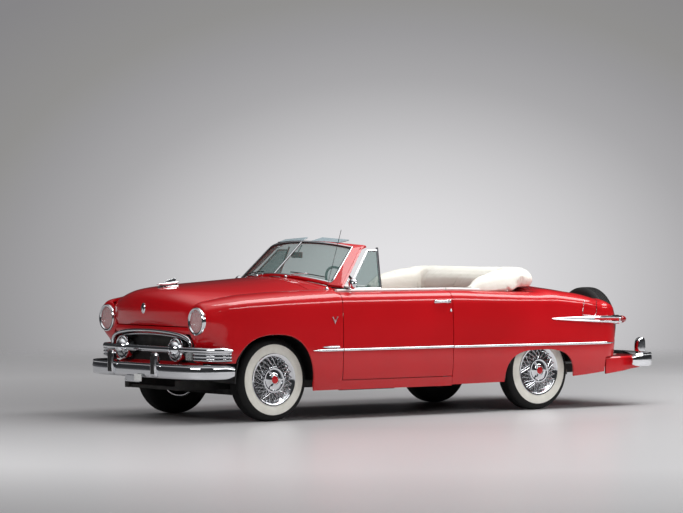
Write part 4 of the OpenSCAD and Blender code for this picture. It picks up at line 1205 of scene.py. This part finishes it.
T0, T1 = TRIM_Z - 12, TRIM_Z + 12
both_sides(lambda n: side_strip(n, 323, DOOR_FRONT - GAP - 1, T0, T1, 10, front_taper=0.3), "fender_strip", "body",
           "chrome_plate")
both_sides(lambda n: side_strip(n, 425, 600, T1 + 2, T1 + 26, 14, 24, 0.35, 0.03), "fender_badge_bar", "body",
           "chrome_plate")
both_sides(lambda n: side_strip(n, DOOR_FRONT + 1, DOOR_REAR - 1, T0, T1, 10), "door_strip", "door_*", "chrome_plate",
           "door_trim_*")
both_sides(lambda n: side_strip(n, DOOR_REAR + GAP + 1, REAR + 850, T0 - 2, T1 - 2, 10, rear_taper=0.08, drop=6),
           "quarter_strip", "body", "chrome_plate")


def tail_spear(name):
    """Long tail moulding that widens rearward and ends in a rounded tip on the tail corner."""
    spine = [(60, 812, 5, 4), (200, 809, 15, 11), (400, 804, 24, 16), (600, 799, 31, 19), (760, 796, 36, 20),
             (860, 793, 38, 21), (930, 790, 34, 22), (985, 788, 18, 18), (1002, 787, 3, 5)]
    half, high, proud = curve(spine, 2), curve(spine, 1), curve(spine, 3)
    rings, n = [], 70
    for s in spread(60, 1002, n):
        y, z, h, d = REAR + s, high(s), half(s), proud(s)
        base = side_x(y, z) if s < 724 else max(side_x(REAR + 724, z) - 0.0009 * (s - 724) ** 2, 780)
        rings.append([(base - 12, y, z + h), (base + d * 0.55, y, z + h * 0.86), (base + d * 0.9, y, z + h * 0.5),
                      (base + d * 0.7, y, z + h * 0.32), (base + d * 0.62, y, z), (base + d * 0.7, y, z - h * 0.32),
                      (base + d * 0.9, y, z - h * 0.5), (base + d * 0.55, y, z - h * 0.86), (base - 12, y, z - h)])
    points = [p for ring in rings for p in ring]
    faces = grid_faces(n, 9, close_cols=True) + end_caps(n, 9)
    obj = object_from(name, points, faces, [CHROME, RED], 25)
    for face in obj.data.polygons:
        lift = abs(face.center.z * 1000 - high(face.center.y * 1000 - AXLE_Y * 1000 - REAR))
        station = (face.center.y - AXLE_Y) * 1000 - REAR
        if 560 < station < 930 and lift < 0.30 * half(station):
            face.material_index = 1
    return obj


both_sides(tail_spear, "tail_spear", "body", "chrome_plate")
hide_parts("body_trim")


def tail_lamp(name):
    at = (832, REAR + 905, 790)
    lens = turned("lens", [(34, 0), (34, 50), (30, 72), (20, 90), (8, 99), (0.5, 100), (0.5, 0)], LENS, at, "y", n=48)
    lens.data.transform(Matrix.Translation((0, 2 * (at[1] / 1000 + AXLE_Y), 0)) @ Matrix.Diagonal((1, -1, 1, 1)))
    lens.data.flip_normals()
    rim = turned("rim", [(35, -4), (41, -4), (41, 14), (35, 16)], CHROME, at, "y", n=48)
    return joined(name, [lens, rim])


both_sides(tail_lamp, "tail_lamp", "body", "lamp_lens")
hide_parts("tail_lamps")


def fuel_door(name):
    """Raised outline of the filler door on the left rear quarter."""
    marks = [(3354, 972), (3330, 900), (3324, 843), (3400, 832), (3468, 828), (3490, 850), (3501, 896), (3499, 964)]
    path = [(side_x(y, z) + 1.5, y, z) for y, z in smooth_path(marks, 60)]
    return rod(name, path, 3, CHROME, up=(1, 0, 0))


settle(fuel_door("fuel_door_trim"), "body", "chrome_plate")


def chevron(name):
    """Plain V-shaped ornament on the fender, ahead of the door."""
    at_y, at_z = 555, 838
    path = [(side_x(at_y, at_z) + 3, at_y + a, at_z + b) for a, b in ((-26, 34), (-12, 10), (0, -24), (12, 10),
                                                                      (26, 34))]
    return rod(name, path, 4, CHROME, up=(1, 0, 0))


both_sides(chevron, "fender_chevron", "body", "chrome_plate")


def door_handle(name):
    y = DOOR_REAR - 125
    x = side_x(y, 985)
    path = [(x - 6, y + 70, 985), (x + 12, y + 66, 985), (x + 24, y + 50, 984), (x + 26, y - 10, 983),
            (x + 22, y - 50, 982), (x + 10, y - 66, 981)]
    grip = sweep("grip", smooth_path(path, 30), circle_section(11, 6, 14), CHROME, up=(1, 0, 0))
    rose = [turned("rose", [(16, 0), (16, 4), (10, 8), (0.5, 9), (0.5, -2)], CHROME, (x - 1, y + s, 984), "x", n=32)
            for s in (68, -62)]
    button = turned("button", [(13, 0), (13, 10), (9, 13), (0.5, 13), (0.5, 0)], CHROME, (x, y + 92, 984), "x", n=32)
    lock = turned("lock", [(12, 0), (12, 5), (8, 8), (0.5, 9), (0.5, 0)], CHROME,
                  (side_x(y, 905), DOOR_REAR - 22, 905), "x", n=32)
    return joined(name, [grip, button, lock] + rose)


both_sides(door_handle, "door_handle", "door_*", "chrome_plate")


def door_mirror(name):
    stem = rod("stem", smooth_path([(812, 770, 1098), (820, 768, 1112), (838, 764, 1120), (850, 766, 1126)], 14), 6,
               CHROME)
    foot = block("foot", (796, 828), (752, 788), (1096, 1102), CHROME, 3)
    shell = turned("shell", [(46, -4), (46, 8), (38, 22), (22, 32), (0.5, 35), (0.5, 6), (40, 0), (42, -4)], CHROME,
                   (850, 790, 1146), "y", n=48)
    return joined(name, [stem, foot, shell])


both_sides(door_mirror, "door_mirror", "door_*", "chrome_plate")


BELT_SECTION = [(-14, -8), (14, -8), (19, 0), (17, 9), (9, 14), (-9, 14), (-15, 5)]


def door_top(name):
    """Bright belt moulding along the top of the door, white as a painted highlight on its bright metal, with the
    window slot's seal inside it.
    """
    stations = spread(DOOR_FRONT + 6, DOOR_REAR - 3, 30)
    # white paint on the moulding stands in for its bright highlight
    strip = sweep("strip", [(EDGE_X(y) - 4, y, EDGE_Z(y) + 8) for y in stations],
                  BELT_SECTION, WHITE)
    seal = sweep("seal", [(EDGE_X(y) - 19, y, EDGE_Z(y) + 4) for y in stations], circle_section(4, 9, 8), SEAL)
    return joined(name, [strip, seal])


both_sides(door_top, "door_belt_strip", "door_*", "chrome_plate")
# the quarter's belt moulding, white too: painted highlight on bright metal
both_sides(lambda n: sweep(n, [(EDGE_X(y) - 4, y, EDGE_Z(y) + 8) for y in spread(DOOR_REAR + 8, REAR - 620, 16)],
                           BELT_SECTION, WHITE),
           "quarter_belt_strip", "body", "chrome_plate")

VENT = [(800, 1100), (1086, 1424), (1190, 1424), (1140, 1100)]


def vent_point(y, z):
    return (780 - (z - 1100) * 124 / 318 + 4, y, z)


def vent_window(name):
    path = [vent_point(y, z) for y, z in VENT]
    parts = []
    for a, b in zip(path, path[1:] + path[:1]):
        parts.append(sweep("side", [a, b], circle_section(9, 6, 10), CHROME, up=(0.93, 0, 0.37)))
    parts.append(sweep("post", [(776, 1138, 1098), tuple(vent_point(1198, 1450))], circle_section(11, 8, 10), CHROME))
    return joined(name, parts)


both_sides(vent_window, "vent_frame", "door_*", "chrome_plate")


def vent_pane(name):
    pts = [vent_point(y, z) for y, z in VENT]
    points = [(x + 2, y, z) for x, y, z in pts] + [(x - 2, y, z) for x, y, z in pts]
    return object_from(name, points, [(0, 1, 2, 3), (7, 6, 5, 4), (0, 4, 5, 1), (1, 5, 6, 2), (2, 6, 7, 3),
                                      (3, 7, 4, 0)], GLASS)


both_sides(vent_pane, "vent_pane", "door_*", "clear_glass", "vent_glass_*")

# ---------------------------------------------------------------- ornaments and small fittings


def hood_ornament():
    spine = [(-651, 1143, 3, 3), (-620, 1146, 10, 8), (-560, 1147, 17, 12), (-500, 1152, 14, 12), (-430, 1160, 5, 8)]
    wide, tall, high = curve(spine, 2), curve(spine, 3), curve(spine, 1)
    path = [(0, y, high(y)) for y in spread(-651, -430, 30)]
    body = sweep("body", path, circle_section(1, n=16), CHROME,
                 scale=lambda t: (wide(-651 + 221 * t), tall(-651 + 221 * t)))
    fin = object_from("fin", [(s, y, z) for s in (-3, 3) for y, z in ((-600, 1150), (-540, 1178), (-470, 1196),
                                                                      (-448, 1190),
                                                                       (-470, 1150))],
                      [(0, 1, 2, 3, 4), (9, 8, 7, 6, 5)] + [(i, 5 + i, 5 + (i + 1) % 5,
                                                             (i + 1) % 5) for i in range(5)], CHROME)
    foot = object_from("foot", [(x, y, z) for y, z in ((-640, 1108), (-430, 1130)) for x in (-9, 9)] +
                       [(x, y, z) for y, z in ((-620, 1142), (-440, 1156)) for x in (-5, 5)],
                       [(0, 2, 3, 1), (4, 5, 7, 6), (0, 1, 5, 4), (2, 6, 7, 3), (0, 4, 6, 2), (1, 3, 7, 5)], CHROME)
    return joined("hood_ornament_dart", [body, bevel(fin, 1.5), bevel(foot, 2)])


settle(hood_ornament(), "hood", "chrome_plate", "hood_ornament")
crest = turned("hood_crest", [(30, -6), (30, 3), (25, 8), (0.5, 11), (0.5, -6)], CHROME, (0, -780, 945), "y", n=40,
               squash_z=1.5)
settle(crest, "hood", "chrome_plate")

mast = [(760, 579, 1108), (760, 579 + 152, 1108 + 496)]
settle(joined("antenna_mast", [rod("mast", mast, 2.4, CHROME, up=(1, 0, 0)),
                               turned("ball", [(18, 0), (16, 10), (8, 20), (4, 24), (0.5, 24), (0.5, 0)], CHROME,
                                      (760, 579, 1095), "z", n=32)]), "body", "chrome_plate", "antenna")


def wiper(name):
    pivot = (215, 538, 1208)
    tip = glass_low(0.62) + (glass_high(0.62) - glass_low(0.62)) * 0.10 + RAKE * 16
    arm = rod("arm", [pivot, tuple((np.array(pivot) + tip) / 2 + RAKE * 14), tuple(tip)], 4, CHROME)
    cap = turned("cap", [(14, 0), (12, 10), (6, 16), (0.5, 17), (0.5, 0)], CHROME,
                 (pivot[0], pivot[1], pivot[2] - 10), "z", n=24)
    low = [tuple(glass_low(u) + (glass_high(u) - glass_low(u)) * (0.07 + 0.03 * u) + RAKE * 12)
           for u in spread(0.3, 0.88, 12)]
    blade = rod("blade", low, 4, SEAL)
    return joined(name, [arm, cap, blade])


both_sides(wiper, "wiper", "body", "chrome_plate")
both_sides(lambda n: sweep(n, smooth_path([(90, 470, 1201), (150, 462, 1203), (250, 468, 1200)], 16),
                           circle_section(12, 5, 10), CHROME), "cowl_grip", "body", "chrome_plate")

# ---------------------------------------------------------------- cabin

DASH = [(640, 1076), (700, 1090), (735, 1092), (768, 1082), (784, 1060), (786, 1030), (772, 1004), (740, 985),
        (700, 972), (640, 972)]


def dash():
    panel_shape = swept_across("dash_panel", DASH, 738, 0, RED, n=21, edge=4)
    trim = sweep("dash_trim", [(x, 790, 1040) for x in spread(-700, 700, 9)],
                 [(-2, -12), (2, -12), (2, 12), (-2, 12)], CHROME)
    gauge = turned("gauge", [(62, -4), (66, 2), (60, 8), (52, 4), (52, -4)], CHROME, (380, 790, 1050), "y", n=48)
    face = turned("gauge_face", [(53, 0), (0.5, 0), (0.5, -4), (53, -4)], WHITE, (380, 791, 1050), "y", n=48)
    radio = block("radio", (-110, 110), (784, 794), (1012, 1066), CHROME, 4)
    speaker = block("speaker", (-90, 90), (792, 796), (1026, 1056), PLASTIC, 2)
    for part in (gauge, face):
        part.data.transform(Matrix.Translation((0, 2 * (0.790 + AXLE_Y), 0)) @ Matrix.Diagonal((1, -1, 1, 1)))
        part.data.flip_normals()
    return joined("dashboard_panel", [panel_shape, trim, gauge, face, radio, speaker])


settle(dash(), "body", "red_enamel", "dashboard")

HUB, TILT = np.array((380, 1030, 1100)), math.radians(28)
COLUMN = np.array((0, math.cos(TILT), math.sin(TILT)))
COLUMN_UP = np.array((0, -math.sin(TILT), math.cos(TILT)))


def on_column(radius, degrees, along):
    a = math.radians(degrees)
    return tuple(HUB + np.array((1, 0, 0)) * radius * math.cos(a) + COLUMN_UP * radius * math.sin(a) + COLUMN * along)


def steering_wheel():
    rim = sweep("rim", [on_column(205, k * 5, 0) for k in range(72)], circle_section(11, n=14), PLASTIC, closed=True,
                up=tuple(COLUMN))
    ring = sweep("ring", [on_column(120, k * 7.5, 8) for k in range(48)], circle_section(4, n=10), CHROME,
                 closed=True, up=tuple(COLUMN))
    parts = [rim, ring]
    for side in (0, 180):
        path = [on_column(r, side, -6 if r < 60 else 0) for r in (20, 60, 200)]
        parts.append(sweep("spoke", path, circle_section(10, 4, 10), PLASTIC, up=tuple(COLUMN_UP)))
    hub = [turned("hub", [(30, -34), (34, -4), (28, 8), (12, 14), (0.5, 15), (0.5, -34)], PLASTIC, (0, 0, 0), "y",
                  n=40)]
    button = turned("button", [(20, 12), (16, 19), (0.5, 21), (0.5, 8)], CHROME, (0, 0, 0), "y", n=40)
    for part in hub + [button]:
        about_axle(part)
        turn = Matrix.Translation(Vector(HUB / 1000) + Vector((0, AXLE_Y, 0))) @ Matrix.Rotation(TILT, 4, "X")
        part.data.transform(turn @ Matrix.Diagonal((1, -1, 1, 1)))
        part.data.flip_normals()
    shaft = sweep("shaft", [tuple(HUB + COLUMN * -100), tuple(HUB + COLUMN * -20)], circle_section(9, n=12), STEEL)
    return joined("steering_wheel_rim", parts + hub + [button, shaft])


settle(steering_wheel(), "steering_wheel", "steering_plastic", "steering_wheel")


def door_card(name):
    """Red vinyl door lining with an ivory armrest and bright strips, on the door's inner face."""
    y0, y1 = DOOR_FRONT + 74, DOOR_REAR - 34
    card = block("card", (760, 770), (y0, y1), (400, 1066), RED_VINYL, 5)
    rest = block("rest", (715, 762), (y0 + 300, y0 + 760), (800, 850), IVORY, 18)
    strips = [block("strip", (757, 761), (y0 + 20, y1 - 20), (z, z + 8), CHROME, 1) for z in (700, 960)]
    crank = rod("crank", [(756, y0 + 180, 900), (740, y0 + 180, 900), (738, y0 + 240, 870), (722, y0 + 240, 870)], 6,
                CHROME)
    return joined(name, [card, rest, crank] + strips)


both_sides(door_card, "door_card", "door_*", "seat_vinyl")
both_sides(lambda n: block(n, (728, 744), (DOOR_REAR + 34, REAR - 420), (366, 1040), RED_VINYL, 8),
           "rear_side_lining", "body", "seat_vinyl")


def soften(obj, voxel_mm, pressure, cap_mm):
    """Lets a closed cover go slack: cloth under light pressure, with its movement capped."""
    remesh = obj.modifiers.new("even mesh", "REMESH")
    remesh.mode = "VOXEL"
    remesh.voxel_size = voxel_mm / 1000
    apply_modifiers(obj)
    before = np.array([v.co for v in obj.data.vertices])
    cloth = obj.modifiers.new("slack cover", "CLOTH")
    cloth.settings.quality = 4
    cloth.settings.mass = 0.4
    cloth.settings.tension_stiffness = 12
    cloth.settings.compression_stiffness = 12
    cloth.settings.bending_stiffness = 0.4
    cloth.settings.shrink_min = -0.05
    cloth.settings.use_pressure = True
    cloth.settings.uniform_pressure_force = pressure
    cloth.settings.effector_weights.gravity = 0
    for frame_number in range(1, 21):
        bpy.context.scene.frame_set(frame_number)
    apply_modifiers(obj)
    bpy.context.scene.frame_set(1)
    after = np.array([v.co for v in obj.data.vertices])
    move = after - before
    length = np.linalg.norm(move, axis=1, keepdims=True)
    after = before + move * np.minimum(1, cap_mm / 1000 / np.maximum(length, 1e-9))
    for vertex, place_now in zip(obj.data.vertices, after):
        vertex.co = place_now
    return subdivide(obj, 1)


def cushion(name, outline, half, material, sag=6, n=25):
    """Seat block from its rounded side outline, crowned towards its middle."""
    ring = smooth_path(outline + outline[:1], 44)[:-1]
    cy, cz = np.mean([p[0] for p in ring]), np.mean([p[1] for p in ring])
    points = []
    for u in spread(-1, 1, n):
        k = 1 - 0.16 * abs(u) ** 9
        points += [(half * u, cy + (y - cy) * k, cz + (z - cz) * k + sag * (1 - u * u) * (z > cz)) for y, z in ring]
    m = len(ring)
    faces = grid_faces(n, m, close_cols=True) + end_caps(n, m)
    return object_from(name, points, faces, material, 60)


def bench(name, base, back, half, insert_x, node_name):
    parts = []
    for tag, outline in (("cushion", base), ("back", back)):
        obj = dress(soften(cushion(f"{name}_{tag}", outline, half, IVORY), 12, 3.0, 14), IVORY, RED_VINYL)
        for face in obj.data.polygons:
            x = abs(face.center.x * 1000)
            if insert_x[0] < x < insert_x[1]:
                face.material_index = 1
        settle(obj, "body", "seat_vinyl")
        parts.append(obj)
    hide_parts(node_name)
    return parts


bench("front_seat", [(1095, 440), (1088, 560), (1096, 606), (1130, 626), (1300, 622), (1500, 596), (1560, 560),
                     (1580, 440)],
      [(1490, 590), (1530, 760), (1570, 930), (1600, 1004), (1632, 1014), (1664, 992), (1662, 900), (1640, 640),
       (1620, 440), (1520, 440)], 636, (90, 560), "front_seat")
bench("rear_seat", [(1965, 430), (1952, 540), (1960, 592), (1992, 614), (2150, 606), (2330, 584), (2370, 520),
                    (2300, 436)],
      [(2320, 590), (2370, 740), (2420, 930), (2450, 990), (2486, 996), (2516, 972), (2500, 860), (2440, 620),
       (2390, 500), (2330, 500)], 572, (70, 500), "rear_seat")



def sun_visor(name):
    """Visor swung up above the header, on its rod."""
    board = [(70, 905, 1506), (450, 935, 1496), (470, 1030, 1520), (110, 1010, 1540)]
    points = board + [(x, y + 3, z - 9) for x, y, z in board]
    flap = object_from("flap", points, [(0, 1, 2, 3), (7, 6, 5, 4), (0, 4, 5, 1), (1, 5, 6, 2), (2, 6, 7, 3),
                                        (3, 7, 4, 0)], VISOR)
    hanger = rod("hanger", [(60, 905, 1486), (64, 905, 1500), (450, 934, 1492)], 5, CHROME)
    return joined(name, [bevel(flap, 3), hanger])


both_sides(sun_visor, "sun_visor", "body", "seat_vinyl")
mirror_back = [block("mirror_shell", (-78, 78), (806, 822), (1358, 1410), RED, 7),
               rod("mirror_stem", [(0, 822, 1400), (0, 868, 1470)], 5, CHROME, up=(1, 0, 0)),
               block("mirror_face", (-70, 70), (821, 824), (1364, 1404), CHROME, 1)]
settle(joined("cabin_mirror", mirror_back), "body", "chrome_plate")

# ---------------------------------------------------------------- folded top under its cover

BOOT_ROWS = [(735, 2160, 34, 1112), (722, 2280, 62, 1190), (692, 2480, 90, 1240), (646, 2670, 124, 1258),
             (550, 2780, 190, 1256), (300, 2840, 236, 1250), (0, 2850, 240, 1248)]


def boot_mesh(name):
    """Roll of the folded top, round the back of the cabin, before its cover is let go slack."""
    rows = BOOT_ROWS + [(-x, y, w, top) for x, y, w, top in reversed(BOOT_ROWS[:-1])]
    path = smooth_path([(x, y + REAR - 2896, w, top) for x, y, w, top in rows], 90)
    pts = np.array(path)
    outline = [(-1, 0.02), (-0.99, 0.3), (-0.93, 0.55), (-0.78, 0.8), (-0.55, 0.94), (-0.25, 1.0), (0, 1.0),
               (0.25, 0.98),
               (0.5, 0.93), (0.72, 0.8), (0.9, 0.55), (0.98, 0.3), (1, 0.02), (0.5, 0), (0, 0), (-0.5, 0)]
    points, n, m = [], len(pts), len(outline)
    for i in range(n):
        a, b = pts[max(0, i - 1)][:2], pts[min(n - 1, i + 1)][:2]
        d = (b - a) / np.linalg.norm(b - a)
        out = np.array((-d[1], d[0])) * -1
        x, y, w, top = pts[i]
        low = EDGE_Z(y) + 2 + 56 * min(max((y - REAR + 300) / 80, 0), 1)
        for s, t in outline:
            px, py = x + out[0] * w * s, y + out[1] * w * s
            skirt = 95 if math.hypot(px, py - 1500) < math.hypot(x, y - 1500) - 0.3 * w and t < 0.1 else 0
            points.append((px, py, low + (top - low) * t - skirt))
    faces = grid_faces(n, m, close_cols=True) + end_caps(n, m)
    return object_from(name, points, faces, BOOT, 70)


boot = dress(soften(boot_mesh("top_boot"), 9, 4.0, 18), BOOT)
settle(boot, "body", "boot_cloth", "boot_cover")
snaps = [turned(f"boot_snap_{k}", [(7, 0), (6, 4), (0.5, 5), (0.5, 0)], CHROME, (x, y, EDGE_Z(y) + 3), "z", n=16)
         for k, (x, y) in enumerate([(s * (EDGE_X(yy) + 6), yy) for yy in (2250, 2400, 2550) for s in (1, -1)])]
settle(joined("boot_snaps", snaps), "body", "chrome_plate")

# ---------------------------------------------------------------- plain nodes that stay as they are

NODE_LOOK = {
    "frame_rails": BLACK, "floor_pan": CARPET, "firewall": RED, "wheel_wells": BLACK, "rocker_panels": RED,
    "steering_column": PLASTIC, "plate_bracket": CHROME, "engine_block": IRON, "radiator": BLACK,
    "front_suspension": BLACK, "rear_axle": BLACK, "leaf_springs": STEEL, "driveline": IRON, "exhaust": STEEL,
    "fuel_tank": BLACK, "knuckle_left": IRON, "knuckle_right": IRON,
}
for name, look in NODE_LOOK.items():
    dress(frame["nodes"][name], look)

# ---------------------------------------------------------------- studio


def plain_floor():
    # painted floor that fades into the backdrop far from the car, with painted shade darkening it near the car
    m, s = new_material("studio_floor_paint", "#CFCECF", roughness=0.3, ior=1.4, Specular_IOR_Level=0.3)
    bump(m, s, noise(m, 500), 0.02, 0.2)
    where = node(m, "ShaderNodeTexCoord")
    reach = node(m, "ShaderNodeVectorMath", {"Vector": where.outputs["Object"]}, operation="LENGTH")
    # colour darker within a few metres of the car and lighter farther out: painted shade round the car
    tint(m, s, ramp(m, reach.outputs["Value"], 2.5, 7.0, 0, 1), "#B6B5B6", "#ECEBEC")
    fade = ramp(m, reach.outputs["Value"], 9.0, 15.5, 0, 1)
    fade.interpolation_type = "SMOOTHSTEP"
    clear = node(m, "ShaderNodeBsdfTransparent")
    mix = node(m, "ShaderNodeMixShader")
    tree = m.node_tree
    tree.links.new(fade.outputs[0], mix.inputs[0])
    tree.links.new(s.outputs[0], mix.inputs[1])
    tree.links.new(clear.outputs[0], mix.inputs[2])
    tree.links.new(mix.outputs[0], tree.nodes["Material Output"].inputs["Surface"])
    mesh = bpy.data.meshes.new("studio_floor")
    r = 16
    mesh.from_pydata([(-r, -r, 0), (r, -r, 0), (r, r, 0), (-r, r, 0)], [], [(0, 1, 2, 3)])
    mesh.materials.append(m)
    obj = bpy.data.objects.new("studio_floor", mesh)
    bpy.context.scene.collection.objects.link(obj)
    return obj


def area_light(name, at, toward, size, power):
    light = bpy.data.lights.new(name, "AREA")
    light.shape = "RECTANGLE"
    light.size, light.size_y = size
    light.energy = power
    obj = bpy.data.objects.new(name, light)
    obj.location = at
    obj.rotation_euler = (Vector(toward) - Vector(at)).to_track_quat("-Z", "Y").to_euler()
    bpy.context.scene.collection.objects.link(obj)
    return obj


GLOW = (-0.792, 0.611, -0.021)     # direction of the backdrop's brightest point


def gradient(owner, stops, source):
    made = node(owner, "ShaderNodeValToRGB", {0: source})
    elements = made.color_ramp.elements
    elements[0].position, elements[0].color = stops[0][0], linear(stops[0][1])
    elements[1].position, elements[1].color = stops[-1][0], linear(stops[-1][1])
    for at, colour in stops[1:-1]:
        elements.new(at).color = linear(colour)
    return made


# brightness of the backdrop away from its brightest point
BACKDROP = [(0.0, "#E4E3E5"), (0.02, "#E2E1E3"), (0.04, "#DAD9DB"), (0.065, "#CAC9CB"), (0.085, "#B8B7B9"),
            (0.1, "#A9A8AA"), (0.123, "#9A999B"), (0.14, "#91908F"), (0.18, "#868587")]
# what the paint and the chrome see: dark walls low down, a bright soft box overhead
ROOM = [(0.0, "#4A4A4C"), (0.05, "#2C2C2E"), (0.5, "#343436"), (0.7, "#828184"), (0.88, "#FFFFFF")]


def world():
    sky = bpy.data.worlds.new("studio")
    bpy.context.scene.world = sky
    sky.use_nodes = True
    sky.node_tree.nodes.clear()
    where = node(sky, "ShaderNodeTexCoord").outputs["Generated"]
    offset = node(sky, "ShaderNodeVectorMath", {0: where}, operation="SUBTRACT")
    offset.inputs[1].default_value = GLOW
    squashed = node(sky, "ShaderNodeVectorMath", {0: offset}, operation="MULTIPLY")
    squashed.inputs[1].default_value = (1.0, 1.0, 1.5)
    away = node(sky, "ShaderNodeVectorMath", {0: squashed}, operation="LENGTH")
    split = node(sky, "ShaderNodeSeparateXYZ", {0: where})
    seen = node(sky, "ShaderNodeBackground", {"Color": gradient(sky, BACKDROP, away.outputs["Value"])}, Strength=1.0)
    lit = node(sky, "ShaderNodeBackground", {"Color": gradient(sky, ROOM, split.outputs["Z"])}, Strength=1.15)
    rays = node(sky, "ShaderNodeLightPath").outputs
    direct = node(sky, "ShaderNodeMath", {0: rays["Is Camera Ray"], 1: rays["Is Transmission Ray"]},
                  operation="MAXIMUM")
    mix = node(sky, "ShaderNodeMixShader", {0: direct, 1: lit, 2: seen})
    node(sky, "ShaderNodeOutputWorld", {0: mix})


SENSOR = 36.0
FOCAL_WIDTHS = 3165.23 / 683      # focal length as a multiple of the image's width
CAMERA_TILT = 0.584               # degrees below level
CAMERA_HEADING = 53.4


def camera():
    cam = bpy.data.cameras.new("camera")
    cam.sensor_width = SENSOR
    cam.lens = SENSOR * FOCAL_WIDTHS
    obj = bpy.data.objects.new("camera", cam)
    obj.location = (22.407, -15.342 + AXLE_Y, 1.6525)
    obj.rotation_euler = (math.radians(90 - CAMERA_TILT), 0, math.radians(CAMERA_HEADING))
    bpy.context.scene.collection.objects.link(obj)
    bpy.context.scene.camera = obj


plain_floor()
area_light("overhead_bank", (1.9, 3.0, 5.2), (1.9, 3.0, 0.0), (2.6, 9.0), 430)
area_light("side_bank", (7.5, 4.0, 4.4), (0, 1.0, 0.8), (12.0, 0.9), 260)
area_light("front_bank", (2.5, -8.0, 3.4), (0, -1.5, 0.7), (4.0, 1.0), 110)
world()
camera()
bpy.context.scene.view_settings.view_transform = "Standard"
